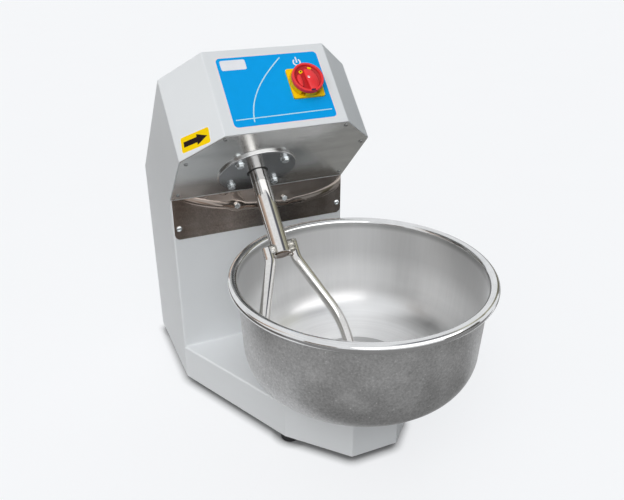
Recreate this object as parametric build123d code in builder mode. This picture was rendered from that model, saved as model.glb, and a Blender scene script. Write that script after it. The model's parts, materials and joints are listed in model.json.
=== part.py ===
from build123d import *
from math import acos, cos, hypot, pi, radians, sin, sqrt, tan
import os

os.makedirs("parts", exist_ok=True)

# Fork dough mixer. Millimetres, +Z up, +Y to the rear, standing on the plane Z = 0.
# Heights are measured from the base's underside unless a comment says otherwise.

# Fits
running_gap = 0.05        # radial, a turning shaft in its bearing or bushing
screw_gap = 0.2           # radial, a screw in its hole
body_gap = 0.5            # between neighbours that don't touch

# Body of bent sheet: column and head
body_width = 390.0
column_depth = 257.0
sheet = 2.0
fold_radius = 5.0
top_round = 3.0
column_rise = 357.0       # from the base's top to the inside corner between column and head
head_tilt = 45.0          # slope of the head's underside, degrees
side_run = 168.0          # along the slope, from the corner to the chamfer
nose_run = 246.0          # along the slope, from the corner to the control panel
nose_width = 242.5
head_depth = 178.0        # square to the slope
flange_width = 16.0       # inturned edge that carries the under-plate

# Base
foot_height = 15.0
foot_radius = 20.0
waist_foot = 17.0         # middle of the foot, in from the bend in the tapered side
base_height = 80.0
base_front_width = 100.0
base_front_reach = 78.0   # from the bowl's axis to the front face
base_side_chamfer = 60.0
waist_left = 149.0        # bend in the tapered side, from the bowl's axis
waist_back = 31.0
base_fold = 4.0
floor_plate = 5.0

# Bowl
bowl_right = 85.5         # axis, from the middle of the body
bowl_ahead = 313.0        # axis, from the column's front
bowl_wall_radius = 233.0  # outside, under the rim
bowl_draft = 2.9          # degrees
bowl_corner = 79.0
bowl_sheet = 2.0
bowl_rise = 70.0          # of the bowl's underside above the base
bowl_step_radius = 104.0
bowl_step = 1.5
bowl_depth = 211.0        # from the underside to the middle of the rolled rim
rim_roll = 9.4

# Fork
fork_left = 28.0          # shaft axis, from the middle of the body
fork_run = 92.0           # shaft axis, along the slope from the corner
shaft_diameter = 36.0
shaft_reach = 186.0       # from the under-plate to the shaft's lower end
rod_diameter = 21.0
left_rod_start = 168.0
right_rod_start = 162.0
rod_bend = 196.0
rod_spread = 86.0         # half the distance between the rods at the fork's end
rod_splay = 23.3          # degrees
rod_end = 384.0
fork_turn = -10.0         # resting angle of the fork about its axis, degrees
elbow_radius = 40.0
tip_radius = 180.0
weld_bead = 4.0

# Fasteners: shank radii, and places from the edges that carry them
plate_screw_radius = 2.0
guard_screw_radius = 3.0
guard_bolt_radius = 4.0
deck_bolt_radius = 4.0
disc_bolt_radius = 5.0
cover_screw_radius = 2.0
foot_bolt_radius = 4.0
housing_bolt_radius = 4.0
handle_screw_radius = 2.4
round_head = 2.1          # head's radius and height, in shank radii
round_head_height = 1.2
hex_head = 1.6
hex_head_height = 1.3
plate_screw_inset = 14.0
plate_screw_end = 11.0
guard_screw_inset = 10.0
guard_screw_up = 25.0
guard_bolt_spread = 54.0
guard_bolt_up = 57.0
deck_bolt_inset = 8.0
deck_bolt_low = 60.0
deck_bolt_high = 125.0
cover_screw_inset = 9.0
foot_inset = 33.0
washer = 2.0

# Stainless plates
plate_sheet = 1.5
plate_margin = 1.5
guard_margin = 3.0        # from the guard's ends to the body's sides
guard_height = 89.0
guard_sheet = 1.5
guard_corner = 12.0
disc_radius = 81.0
disc_thickness = 5.0
disc_round = 2.0
disc_bolt_pitch = 93.0
seal_width = 4.0

# Drive
drive_plate = 12.0
plate_end = 160.0         # upper end of both drive plates, along the slope
plate_foot = -48.0        # lower end of the drive plate
plate_edge = 3.0          # of plate beyond what it carries
gear_module = 3.0
gear_teeth = 60
pinion_teeth = 15
gear_face = 24.0
pressure_angle = 20.0
backlash = 0.5
housing_boss = 46.0
housing_flange = 124.0
housing_height = 32.5
lower_bearing_width = 17.0
lower_bearing_radius = 36.0
lower_seat = 35.0
upper_seat = 30.0
upper_bearing_radius = 27.5
gear_seat = 34.0
layshaft_diameter = 17.0
layshaft_bearing_radius = 17.5
plate_spacing = 76.5      # clear height between the drive plate and the upper plate
pillar_x = 88.0
pillar_v = 56.0
pillar_radius = 8.0
pulley_width = 24.0
pulley_gap = 8.0
driven_pulley_radius = 65.0
motor_pulley_radius = 28.0
groove_depth = 11.0
belt_top = 13.0
belt_bottom = 8.0
belt_height = 8.0
belt_gap = 0.5

# Motor
motor_clearance = 13.0    # from the upper plate's end to the column's rear wall
motor_radius = 62.0
motor_front_gap = 7.5      # from the fan cover to the column's front wall
motor_flange_radius = 70.0
motor_flange = 10.0
motor_shaft_diameter = 19.0
motor_wall = 6.0
fin_depth = 8.0
fin_width = 3.0
fin_root = 2.0            # of fin sunk in the housing
fin_count = 28
rotor_radius = 29.0
air_gap = 0.5
stator_margin = 20.0
rotor_inset = 2.0         # rotor's end inside the stator's
fan_cover_length = 35.0
terminal_length = 74.0
terminal_width = 62.0
terminal_height = 34.0
fan_cover_sheet = 1.5
fan_cover_inset = 1.0     # inside the fins' outline
fan_cover_end = 5.5

# Switch on the control panel
switch_right = 59.0       # from the middle of the panel
switch_up = 91.0          # from the panel's lower edge
switch_plate_size = 64.0
switch_plate_thickness = 4.0
collar_radius = 31.5
collar_height = 9.5
lock_slot = 8.0           # width of a padlock slot in the collar
lock_slot_depth = 6.0
lock_slot_angle = 28.0    # either side of the collar's lowest point
handle_radius = 30.8
handle_height = 8.5
handle_wall = 4.5
handle_recess = 5.5
handle_socket = 2.5       # depth of the spindle's socket
handle_screw_sink = 3.0
grip_radius = 20.5        # raised middle of the handle
grip_edge = 4.0           # left edge of the grip, from the axis
grip_wall = 2.0
switch_box = 52.0
switch_box_depth = 44.0
spindle_size = 8.0

# Bowl bearing
bowl_spindle_diameter = 30.0
spindle_bearing_radius = 31.0
spindle_bearing_width = 16.0
spindle_housing_radius = 40.0
housing_rise = 48.0       # spindle housing above the base
spindle_flange_radius = 75.0
spindle_flange = 10.0
hub_radius = 65.0
hub_thickness = 14.0
ring_thickness = 8.0

# Rear
cover_sheet = 1.5
cover_margin = 17.0
cover_lap = 18.0
gland_hex = 24.0
gland_hex_height = 6.0
gland_dome = 14.0
gland_radius = 9.0

# Places in the part's frame, whose origin is under the middle of the whole outline
corner_height = base_height + column_rise
bowl_bottom = base_height + bowl_rise
rim_height = bowl_bottom + bowl_depth
guard_bottom = corner_height - guard_height
guard_width = body_width - 2 * guard_margin
rim_radius = bowl_wall_radius - bowl_sheet + rim_roll
bowl_reach = rim_radius + rim_roll
rear_reach = cover_sheet + gland_hex_height + gland_dome
body_x = (body_width / 2 - bowl_right - bowl_reach) / 2
front_y = (bowl_ahead + bowl_reach - column_depth - rear_reach) / 2
tilt = radians(head_tilt)


def at(x, y, z):
    """Point in the part's frame from its place on the body: right, back and up."""
    return (body_x + x, front_y + y, foot_height + z)


# Working planes: the base's underside, the column's front, its rear, and a side view
under = Plane(origin=at(0, 0, 0))
front = Plane(origin=at(0, 0, 0), x_dir=(1, 0, 0), z_dir=(0, -1, 0))
rear = Plane(origin=at(0, column_depth, 0), x_dir=(-1, 0, 0), z_dir=(0, 1, 0))
side = Plane(origin=at(0, 0, 0), x_dir=(0, 1, 0), z_dir=(1, 0, 0))
bowl_axis = Plane(origin=at(bowl_right, -bowl_ahead, 0))
bowl_side = Plane(origin=bowl_axis.origin, x_dir=(1, 0, 0), z_dir=(0, -1, 0))

# The slope under the head: x to the right, y up the slope, z out of the head along the shaft
slope = Plane(origin=at(0, 0, corner_height), x_dir=(1, 0, 0), z_dir=(0, -sin(tilt), -cos(tilt)))
slope_normal = Axis(slope.origin, slope.z_dir)
panel = Plane(origin=slope.from_local_coords((0, nose_run, 0)), x_dir=(1, 0, 0), z_dir=slope.y_dir)
switch = Plane(
    origin=panel.from_local_coords((switch_right, switch_up, 0)), x_dir=panel.x_dir, z_dir=panel.z_dir
)

# Parallel axes of the drive
gear_distance = gear_module * (gear_teeth + pinion_teeth) / 2
layshaft_run = fork_run - gear_distance

# Layers along the shaft, from the under-plate inwards
plate_level = -plate_sheet - sheet
housing_level = plate_level - drive_plate
bearing_level = housing_level - (housing_height - lower_bearing_width) + seal_width
housing_top = housing_level - housing_height
upper_level = housing_level - plate_spacing
upper_top = upper_level - drive_plate
gear_level = (housing_top + upper_level) / 2
pulley_level = upper_top - pulley_gap
belt_level = pulley_level - pulley_width / 2
motor_start = upper_level + motor_flange


def slope_point(run, layer):
    """Depth and height of a point on the head, from its place along and across the slope."""
    depth = -run * cos(tilt) - layer * sin(tilt)
    height = corner_height + run * sin(tilt) - layer * cos(tilt)
    return (depth, height)


def run_at_depth(depth, layer):
    """Place along the slope where a layer lies at this depth behind the column's front."""
    return -(depth + layer * sin(tilt)) / cos(tilt)


upper_foot = run_at_depth(column_depth - sheet - motor_clearance, upper_top)
motor_run = upper_foot + motor_flange_radius + plate_edge
fan_radius = motor_radius - fan_cover_inset
motor_reach = -((motor_run + fan_radius) * cos(tilt) + sheet + motor_front_gap) / sin(tilt)
motor_end = motor_reach - fan_cover_length
motor_length = motor_end - motor_start


def slope_axis(run):
    """Plane square to the drive's axes, centred on the axis at this place on the slope."""
    origin = slope.from_local_coords((-fork_left, run, 0))
    return Plane(origin=origin, x_dir=slope.x_dir, z_dir=slope.z_dir)


fork_axis = slope_axis(fork_run)
layshaft_axis = slope_axis(layshaft_run)
motor_axis = slope_axis(motor_run)
turned_x = slope.x_dir * cos(radians(fork_turn)) + slope.y_dir * sin(radians(fork_turn))
fork_cross = Plane(origin=fork_axis.origin, x_dir=turned_x, z_dir=slope.z_dir)
fork_flat = Plane(origin=fork_axis.origin, x_dir=turned_x, z_dir=turned_x.cross(slope.z_dir))

pieces = {}


def head_outline(inset, start):
    """Corners of the head seen square to the slope, set in all round, from a start on the slope."""
    half, nose = body_width / 2, nose_width / 2
    length = hypot(half - nose, nose_run - side_run)
    normal_x = (nose_run - side_run) / length
    normal_y = (half - nose) / length
    side_end = side_run - inset * (1 - normal_x) / normal_y
    nose_end = nose - inset * (1 - normal_y) / normal_x
    right = [(half - inset, start), (half - inset, side_end), (nose_end, nose_run - inset)]
    left = [(-x, y) for x, y in reversed(right)]
    return right + left


def base_outline(back):
    """Corners of the base in plan, from the column's front, reaching back behind it."""
    half = body_width / 2
    front_line = -bowl_ahead - base_front_reach
    return [
        (-half, back),
        (-half, 0),
        (bowl_right - waist_left, -bowl_ahead + waist_back),
        (bowl_right - base_front_width / 2, front_line),
        (bowl_right + base_front_width / 2, front_line),
        (half, front_line + base_side_chamfer),
        (half, back),
    ]


def mirrored(points):
    """The points and their mirror images across the middle of the body."""
    return points + [(-x, y) for x, y in points]


# Fastener places, shared by the holes and the fasteners
half_width = body_width / 2
side_screw = half_width - plate_screw_inset
nose_screw = (nose_width / 2 - sheet, nose_run - plate_screw_end)
plate_screws = mirrored(
    [nose_screw, (side_screw, side_run - plate_screw_end), (side_screw, 2 * plate_screw_end)]
)
guard_screws = mirrored([(guard_width / 2 - guard_screw_inset, guard_bottom + guard_screw_up)])
guard_bolts = mirrored([(guard_bolt_spread, guard_bottom + guard_bolt_up)])
deck_bolt_x = half_width - sheet - deck_bolt_inset
deck_bolts = mirrored([(deck_bolt_x, deck_bolt_low), (deck_bolt_x, deck_bolt_high)])
cover_top = slope_point(run_at_depth(column_depth, -head_depth), -head_depth)[1] - cover_margin
cover_rows = 4
cover_low = cover_margin + cover_screw_inset
cover_step = (cover_top - cover_screw_inset - cover_low) / (cover_rows - 1)
cover_screw_x = half_width - cover_margin - cover_screw_inset
cover_screws = mirrored([(cover_screw_x, cover_low + k * cover_step) for k in range(cover_rows)])
front_line = -bowl_ahead - base_front_reach
front_feet = [
    (bowl_right - waist_left + waist_foot, -bowl_ahead + waist_back + waist_foot * 0.75),
    (half_width - foot_inset, front_line + base_side_chamfer + foot_radius),
]
rear_feet = mirrored([(half_width - foot_inset, column_depth - foot_inset)])
gland_place = (-half_width * 0.6, cover_margin + cover_lap + gland_hex)
housing_bolt_circle = (spindle_flange_radius + spindle_housing_radius) / 2
housing_bolts = [
    (housing_bolt_circle * cos(k * pi / 3), housing_bolt_circle * sin(k * pi / 3)) for k in range(6)
]


def holes(points, radius, mode=Mode.SUBTRACT):
    """Screw holes in the sketch at hand, or the circles of a sketch that cuts them."""
    with Locations(*points):
        Circle(radius + screw_gap, mode=mode)


def headed_pins(plane, points, radius, length, hexagon=False):
    """Identical screws: heads stand on the plane and shanks go in behind it."""
    with BuildPart() as group:
        with BuildSketch(plane):
            with Locations(*points):
                if hexagon:
                    RegularPolygon(radius=hex_head * radius, side_count=6, major_radius=False)
                else:
                    Circle(round_head * radius)
        head_height = radius * (hex_head_height if hexagon else round_head_height)
        extrude(amount=head_height)
        crown = group.faces().sort_by(Axis(plane.origin, plane.z_dir))[-len(points):]
        chamfer(crown.edges(), head_height * (0.16 if hexagon else 0.4))
        with BuildSketch(plane):
            with Locations(*points):
                Circle(radius)
        extrude(amount=-length)
    return group


def hex_nuts(plane, points, radius, across, height):
    """Identical nuts standing on the plane."""
    with BuildPart() as group:
        with BuildSketch(plane):
            with Locations(*points):
                RegularPolygon(radius=across, side_count=6, major_radius=False)
                Circle(radius + running_gap, mode=Mode.SUBTRACT)
        extrude(amount=height)
    return group


def rings(places, outer, inner, height):
    """Identical plain rings, one on each plane."""
    with BuildPart() as group:
        for plane in places:
            with BuildSketch(plane):
                Circle(outer)
                Circle(inner, mode=Mode.SUBTRACT)
            extrude(amount=height)
    return group


def housing_block(inset, low):
    """Column and head as one solid with every face set in, down to the height low."""
    layer_under = -plate_sheet - inset
    layer_top = -head_depth + inset
    back = column_depth - inset
    with BuildPart() as block:
        with BuildSketch(side):
            with BuildLine():
                Polyline(
                    (inset, low),
                    slope_point(run_at_depth(inset, layer_under), layer_under),
                    slope_point(nose_run - inset, layer_under),
                    slope_point(nose_run - inset, layer_top),
                    slope_point(run_at_depth(back, layer_top), layer_top),
                    (back, low),
                    close=True,
                )
            make_face()
        extrude(amount=body_width / 2 - inset, both=True)
        with BuildSketch(slope):
            with BuildLine():
                Polyline(*head_outline(inset, -2 * corner_height), close=True)
            make_face()
        extrude(amount=2 * corner_height, both=True, mode=Mode.INTERSECT)
        fillet(block.edges().filter_by(Axis.Z) + block.edges().filter_by(slope_normal), fold_radius - inset)
        fillet(block.faces().sort_by(slope_normal)[0].edges(), top_round - inset)
    return block.part


# Column and head: one welded shell, open below, under the head and at the rear
with BuildPart() as body_shell:
    add(housing_block(0, 0))
    add(housing_block(sheet, -sheet), mode=Mode.SUBTRACT)
    with BuildSketch(slope.offset(-plate_sheet)):
        with BuildLine():
            Polyline(*head_outline(flange_width + sheet, flange_width + sheet), close=True)
        make_face()
        holes(plate_screws, plate_screw_radius, Mode.ADD)
        holes(deck_bolts, deck_bolt_radius, Mode.ADD)
    extrude(amount=-sheet, mode=Mode.SUBTRACT)
    with BuildSketch(rear):
        with Locations((0, (cover_margin + cover_top) / 2)):
            Rectangle(
                body_width - 2 * (cover_margin + cover_lap),
                cover_top - cover_margin - 2 * cover_lap,
            )
        holes(cover_screws, cover_screw_radius, Mode.ADD)
    extrude(amount=-sheet, mode=Mode.SUBTRACT)
    with BuildSketch(front):
        holes(guard_screws, guard_screw_radius, Mode.ADD)
        holes(guard_bolts, guard_bolt_radius, Mode.ADD)
    extrude(amount=-sheet, mode=Mode.SUBTRACT)
    with BuildSketch(switch):
        Circle(spindle_size)
    extrude(amount=-sheet, mode=Mode.SUBTRACT)
pieces["body_shell"] = body_shell

# Base: a tray turned over, open below and against the column, thickened round the spindle housing
with BuildPart() as base_shell:
    with BuildSketch(under):
        with BuildLine():
            Polyline(*base_outline(0)[1:], close=True)
        make_face()
    extrude(amount=base_height)
    outer_corners = base_shell.edges().filter_by(Axis.Z).sort_by(Axis.Y)[:4]
    fillet(outer_corners, base_fold)
    back_line = base_shell.faces().sort_by(Axis.Y)[-1].edges()
    fillet(base_shell.faces().sort_by(Axis.Z)[-1].edges() - back_line, base_fold)
    with BuildSketch(under):
        with BuildLine():
            Polyline(*base_outline(4 * sheet), close=True)
        make_face()
        offset(amount=-sheet, kind=Kind.INTERSECTION)
        fillet(vertices().sort_by(Axis.Y)[:4], base_fold - sheet)
    extrude(amount=base_height - sheet, mode=Mode.SUBTRACT)
    with BuildSketch(bowl_axis.offset(base_height - sheet)):
        Circle(spindle_flange_radius)
    extrude(amount=-ring_thickness)
    with BuildSketch(bowl_axis.offset(base_height)):
        Circle(spindle_housing_radius + body_gap)
        holes(housing_bolts, housing_bolt_radius, Mode.ADD)
    extrude(amount=-sheet - ring_thickness, mode=Mode.SUBTRACT)
pieces["base_shell"] = base_shell

# Plates that close the base and the column below and carry the feet
with BuildPart() as base_plate:
    with BuildSketch(under):
        with BuildLine():
            Polyline(*base_outline(0)[1:], close=True)
        make_face()
        offset(amount=-sheet - body_gap, kind=Kind.INTERSECTION)
        fillet(vertices().sort_by(Axis.Y)[:4], base_fold - sheet)
        holes(front_feet, foot_bolt_radius)
        with Locations((bowl_right, -bowl_ahead)):
            Circle(spindle_housing_radius, mode=Mode.SUBTRACT)
    extrude(amount=floor_plate)
pieces["base_plate"] = base_plate

with BuildPart() as column_plate:
    with BuildSketch(under):
        with Locations((0, column_depth / 2)):
            RectangleRounded(
                body_width - 2 * (sheet + body_gap), column_depth - 2 * (sheet + body_gap), fold_radius
            )
        holes(rear_feet, foot_bolt_radius)
    extrude(amount=floor_plate)
pieces["column_plate"] = column_plate

# Feet, each held by a bolt from below into its plate
with BuildPart() as feet:
    with BuildSketch(under):
        with Locations(*front_feet, *rear_feet):
            Circle(foot_radius - 2)
    extrude(amount=-foot_height, taper=-7)
    soles = feet.faces().sort_by(Axis.Z)[:4]
    fillet(soles.edges(), 1.5)
    with BuildSketch(under.offset(-foot_height)):
        with Locations(*front_feet, *rear_feet):
            Circle(foot_bolt_radius * 2.2)
    extrude(amount=foot_height * 0.6, mode=Mode.SUBTRACT)
    with BuildSketch(under):
        holes(front_feet + rear_feet, foot_bolt_radius, Mode.ADD)
    extrude(amount=-foot_height, mode=Mode.SUBTRACT)
pieces["feet"] = feet

foot_seat = under.offset(-foot_height * 0.4)
foot_shank = foot_height * 0.4 + floor_plate + 3
pieces["foot_bolts"] = headed_pins(
    Plane(origin=foot_seat.origin, x_dir=(1, 0, 0), z_dir=(0, 0, -1)),
    [(x, -y) for x, y in front_feet + rear_feet],
    foot_bolt_radius, foot_shank, hexagon=True,
)

# Bowl: spun sheet with a rolled rim and a shallow step in the middle of the bottom
wall_foot_radius = bowl_wall_radius - (rim_height - bowl_bottom) * tan(radians(bowl_draft))
with BuildPart() as bowl:
    with BuildSketch(bowl_side):
        with BuildLine():
            outside = FilletPolyline(
                (0, bowl_bottom),
                (wall_foot_radius, bowl_bottom),
                (bowl_wall_radius, rim_height),
                radius=[bowl_corner],
            )
            offset(outside, amount=bowl_sheet, side=Side.LEFT, closed=True)
        make_face()
    revolve(axis=Axis(bowl_axis.origin, (0, 0, 1)))
    with BuildSketch(bowl_axis.offset(bowl_bottom)):
        Circle(bowl_step_radius)
    extrude(amount=bowl_sheet + bowl_step)
    step_edge = bowl.faces().filter_by(Plane.XY).sort_by(Axis.Z)[-1].edges()
    fillet(step_edge, bowl_step * 0.8)
    with BuildSketch(bowl_axis.offset(bowl_bottom)):
        Circle(bowl_step_radius - bowl_sheet)
    extrude(amount=bowl_step, mode=Mode.SUBTRACT)
    with BuildSketch(bowl_side):
        with Locations((rim_radius, rim_height)):
            Circle(rim_roll)
            Circle(rim_roll - bowl_sheet, mode=Mode.SUBTRACT)
    revolve(axis=Axis(bowl_axis.origin, (0, 0, 1)))
pieces["bowl"] = bowl

# Bowl bearing: hub under the bowl, spindle, and a flanged housing through the base
hub_level = bowl_bottom + bowl_step
with BuildPart() as bowl_hub:
    with BuildSketch(bowl_axis.offset(hub_level)):
        Circle(hub_radius)
        Circle(bowl_spindle_diameter / 2, mode=Mode.SUBTRACT)
    extrude(amount=-hub_thickness)
    chamfer(bowl_hub.faces().sort_by(Axis.Z)[0].edges().sort_by(SortBy.LENGTH)[-1], 3)
pieces["bowl_hub"] = bowl_hub

spindle_foot = floor_plate - 1
with BuildPart() as spindle:
    with BuildSketch(bowl_axis.offset(spindle_foot)):
        Circle(bowl_spindle_diameter / 2)
    extrude(amount=hub_level - spindle_foot)
    chamfer(spindle.faces().sort_by(Axis.Z)[0].edges(), 1)
pieces["spindle"] = spindle

housing_crown = base_height + housing_rise
housing_foot = 2 * floor_plate + 2
with BuildPart() as spindle_housing:
    with BuildSketch(bowl_axis.offset(housing_foot)):
        Circle(spindle_housing_radius)
    extrude(amount=housing_crown - housing_foot)
    with BuildSketch(bowl_axis.offset(base_height)):
        Circle(spindle_flange_radius)
        holes(housing_bolts, housing_bolt_radius)
    extrude(amount=spindle_flange)
    with BuildSketch(bowl_axis.offset(housing_foot)):
        Circle(bowl_spindle_diameter / 2 + 5)
    extrude(amount=housing_crown - housing_foot, mode=Mode.SUBTRACT)
    for level, way in ((housing_foot, 1), (housing_crown, -1)):
        with BuildSketch(bowl_axis.offset(level)):
            Circle(spindle_bearing_radius)
        extrude(amount=way * spindle_bearing_width, mode=Mode.SUBTRACT)
pieces["spindle_housing"] = spindle_housing

pieces["spindle_bearings"] = rings(
    [bowl_axis.offset(housing_foot), bowl_axis.offset(housing_crown - spindle_bearing_width)],
    spindle_bearing_radius, bowl_spindle_diameter / 2 + running_gap, spindle_bearing_width,
)
pieces["spindle_nut"] = hex_nuts(
    bowl_axis.offset(floor_plate + 1), [(0, 0)], bowl_spindle_diameter / 2, bowl_spindle_diameter * 0.75,
    housing_foot - floor_plate - 2,
)
pieces["housing_bolts"] = headed_pins(
    bowl_axis.offset(base_height + spindle_flange), housing_bolts, housing_bolt_radius,
    spindle_flange + sheet + ring_thickness, hexagon=True,
)

# Stainless under-plate on the head's inturned edge
with BuildPart() as under_plate:
    with BuildSketch(slope):
        with BuildLine():
            Polyline(*head_outline(plate_margin, 2 * plate_margin), close=True)
        make_face()
        holes(plate_screws, plate_screw_radius)
        with Locations((-fork_left, fork_run)):
            Circle(shaft_diameter / 2 + seal_width + body_gap, mode=Mode.SUBTRACT)
            with GridLocations(disc_bolt_pitch, disc_bolt_pitch, 2, 2):
                Circle(disc_bolt_radius + screw_gap, mode=Mode.SUBTRACT)
    extrude(amount=-plate_sheet)
pieces["under_plate"] = under_plate
pieces["under_plate_screws"] = headed_pins(
    slope, plate_screws, plate_screw_radius, plate_sheet + sheet - body_gap
)

# Splash guard on the column
with BuildPart() as splash_guard:
    with BuildSketch(front):
        with Locations((0, (guard_bottom + corner_height) / 2)):
            Rectangle(guard_width, corner_height - guard_bottom - body_gap)
        fillet(vertices().sort_by(Axis.Y)[:2], guard_corner)
        holes(guard_screws, guard_screw_radius)
        holes(guard_bolts, guard_bolt_radius)
    extrude(amount=guard_sheet)
pieces["splash_guard"] = splash_guard
guard_face = front.offset(guard_sheet)
pieces["guard_screws"] = headed_pins(
    guard_face, guard_screws, guard_screw_radius, guard_sheet + 2 * sheet
)
pieces["guard_bolts"] = headed_pins(
    guard_face, guard_bolts, guard_bolt_radius, guard_sheet + 4 * sheet, hexagon=True
)

# Flange disc where the shaft leaves the head, with its seal
with BuildPart() as bearing_flange:
    with BuildSketch(fork_axis):
        Circle(disc_radius)
        Circle(shaft_diameter / 2 + seal_width, mode=Mode.SUBTRACT)
        with GridLocations(disc_bolt_pitch, disc_bolt_pitch, 2, 2):
            Circle(disc_bolt_radius + screw_gap, mode=Mode.SUBTRACT)
    extrude(amount=disc_thickness)
    outer_edge = bearing_flange.faces().sort_by(slope_normal)[-1].outer_wire().edges()
    fillet(outer_edge, disc_round)
pieces["bearing_flange"] = bearing_flange
pieces["shaft_seal"] = rings(
    [fork_axis.offset(0.5)], shaft_diameter / 2 + seal_width, shaft_diameter / 2 + running_gap,
    disc_thickness - 1,
)
half_pitch = disc_bolt_pitch / 2
disc_bolts = mirrored([(half_pitch, half_pitch), (half_pitch, -half_pitch)])
pieces["flange_washers"] = rings(
    [
        Plane(origin=fork_axis.from_local_coords((x, y, disc_thickness)), z_dir=slope.z_dir)
        for x, y in disc_bolts
    ],
    disc_bolt_radius * 2, disc_bolt_radius + screw_gap, washer,
)
pieces["flange_bolts"] = headed_pins(
    fork_axis.offset(disc_thickness + washer), disc_bolts, disc_bolt_radius,
    disc_thickness + washer - housing_level + drive_plate, hexagon=True,
)

# Drive plate on the head's inturned edge, and the housing of the lower bearing
plate_half = body_width / 2 - sheet - body_gap
shaft_opening = shaft_diameter / 2 + seal_width + body_gap
with BuildPart() as drive_deck:
    with BuildSketch(slope.offset(plate_level)):
        with Locations((0, (plate_foot + plate_end) / 2)):
            Rectangle(2 * plate_half, plate_end - plate_foot)
        holes(deck_bolts, deck_bolt_radius)
        with Locations((-fork_left, layshaft_run)):
            Circle(layshaft_bearing_radius, mode=Mode.SUBTRACT)
        with Locations((-fork_left, fork_run)):
            Circle(shaft_opening, mode=Mode.SUBTRACT)
            with GridLocations(disc_bolt_pitch, disc_bolt_pitch, 2, 2):
                Circle(disc_bolt_radius + screw_gap, mode=Mode.SUBTRACT)
            with GridLocations(2 * pillar_x, 2 * pillar_v, 2, 2):
                Circle(pillar_radius * 0.6, mode=Mode.SUBTRACT)
    extrude(amount=-drive_plate)
pieces["drive_plate"] = drive_deck
inward = Plane(origin=slope.offset(housing_level).origin, x_dir=(1, 0, 0), z_dir=-slope.z_dir)
pieces["deck_bolts"] = headed_pins(
    inward, [(x, -y) for x, y in deck_bolts], deck_bolt_radius, drive_plate + sheet - body_gap,
    hexagon=True,
)

with BuildPart() as lower_housing:
    with BuildSketch(fork_axis.offset(housing_level)):
        RectangleRounded(housing_flange, housing_flange, 8)
        with GridLocations(disc_bolt_pitch, disc_bolt_pitch, 2, 2):
            Circle(disc_bolt_radius + screw_gap, mode=Mode.SUBTRACT)
    extrude(amount=-drive_plate)
    with BuildSketch(fork_axis.offset(housing_level)):
        Circle(housing_boss)
    extrude(amount=-housing_height)
    with BuildSketch(fork_axis.offset(housing_level)):
        Circle(shaft_opening)
    extrude(amount=-housing_height, mode=Mode.SUBTRACT)
    with BuildSketch(fork_axis.offset(housing_top)):
        Circle(lower_bearing_radius)
    extrude(amount=bearing_level - housing_top, mode=Mode.SUBTRACT)
pieces["lower_bearing_housing"] = lower_housing
pieces["lower_bearing"] = rings(
    [fork_axis.offset(bearing_level - lower_bearing_width)],
    lower_bearing_radius, lower_seat / 2 + running_gap, lower_bearing_width,
)

# Upper plate on its pillars; it carries the motor
upper_half = pillar_x + pillar_radius + 2 * plate_edge
motor_bolt_place = motor_flange_radius * 0.58
with BuildPart() as upper_deck:
    with BuildSketch(slope.offset(upper_level)):
        with Locations((-fork_left, (upper_foot + plate_end) / 2)):
            Rectangle(2 * upper_half, plate_end - upper_foot)
        with Locations((-fork_left, fork_run)):
            Circle(upper_bearing_radius, mode=Mode.SUBTRACT)
            with GridLocations(2 * pillar_x, 2 * pillar_v, 2, 2):
                Circle(pillar_radius * 0.6, mode=Mode.SUBTRACT)
        with Locations((-fork_left, layshaft_run)):
            Circle(layshaft_bearing_radius, mode=Mode.SUBTRACT)
        with Locations((-fork_left, motor_run)):
            Circle(motor_shaft_diameter / 2 + 3, mode=Mode.SUBTRACT)
            with GridLocations(2 * motor_bolt_place, 2 * motor_bolt_place, 2, 2):
                Circle(deck_bolt_radius + screw_gap, mode=Mode.SUBTRACT)
    extrude(amount=-drive_plate)
pieces["upper_plate"] = upper_deck
pieces["upper_bearing"] = rings(
    [fork_axis.offset(upper_top)], upper_bearing_radius, upper_seat / 2 + running_gap, drive_plate
)
pieces["layshaft_bearings"] = rings(
    [layshaft_axis.offset(housing_level), layshaft_axis.offset(upper_top)],
    layshaft_bearing_radius, layshaft_diameter / 2 + running_gap, drive_plate,
)
with BuildPart() as plate_pillars:
    with BuildSketch(fork_axis.offset(housing_level)):
        with GridLocations(2 * pillar_x, 2 * pillar_v, 2, 2):
            Circle(pillar_radius)
    extrude(amount=-plate_spacing)
    with BuildSketch(fork_axis.offset(plate_level)):
        with GridLocations(2 * pillar_x, 2 * pillar_v, 2, 2):
            Circle(pillar_radius * 0.6)
    extrude(amount=upper_top - plate_level)
pieces["plate_pillars"] = plate_pillars

# Fork: shaft, two bent rods and their welds
shaft_line = Axis(fork_axis.origin, slope.z_dir)
shaft_steps = [
    (shaft_diameter / 2, bearing_level + body_gap),
    (lower_seat / 2, housing_top - 2),
    (gear_seat / 2, upper_level + 6),
    (upper_seat / 2, upper_top - 8),
]
shaft_outline = [
    (0, shaft_reach),
    (shaft_diameter / 2 - 3, shaft_reach),
    (shaft_diameter / 2, shaft_reach - 3),
]
for step, (radius, end) in enumerate(shaft_steps):
    shaft_outline.append((radius, end))
    if step + 1 < len(shaft_steps):
        shaft_outline.append((shaft_steps[step + 1][0], end))
shaft_outline.append((0, shaft_steps[-1][1]))
with BuildPart() as fork_shaft:
    with BuildSketch(fork_flat):
        with BuildLine():
            Polyline(*shaft_outline, close=True)
        make_face()
    revolve(axis=shaft_line)
pieces["fork_shaft"] = fork_shaft

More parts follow.
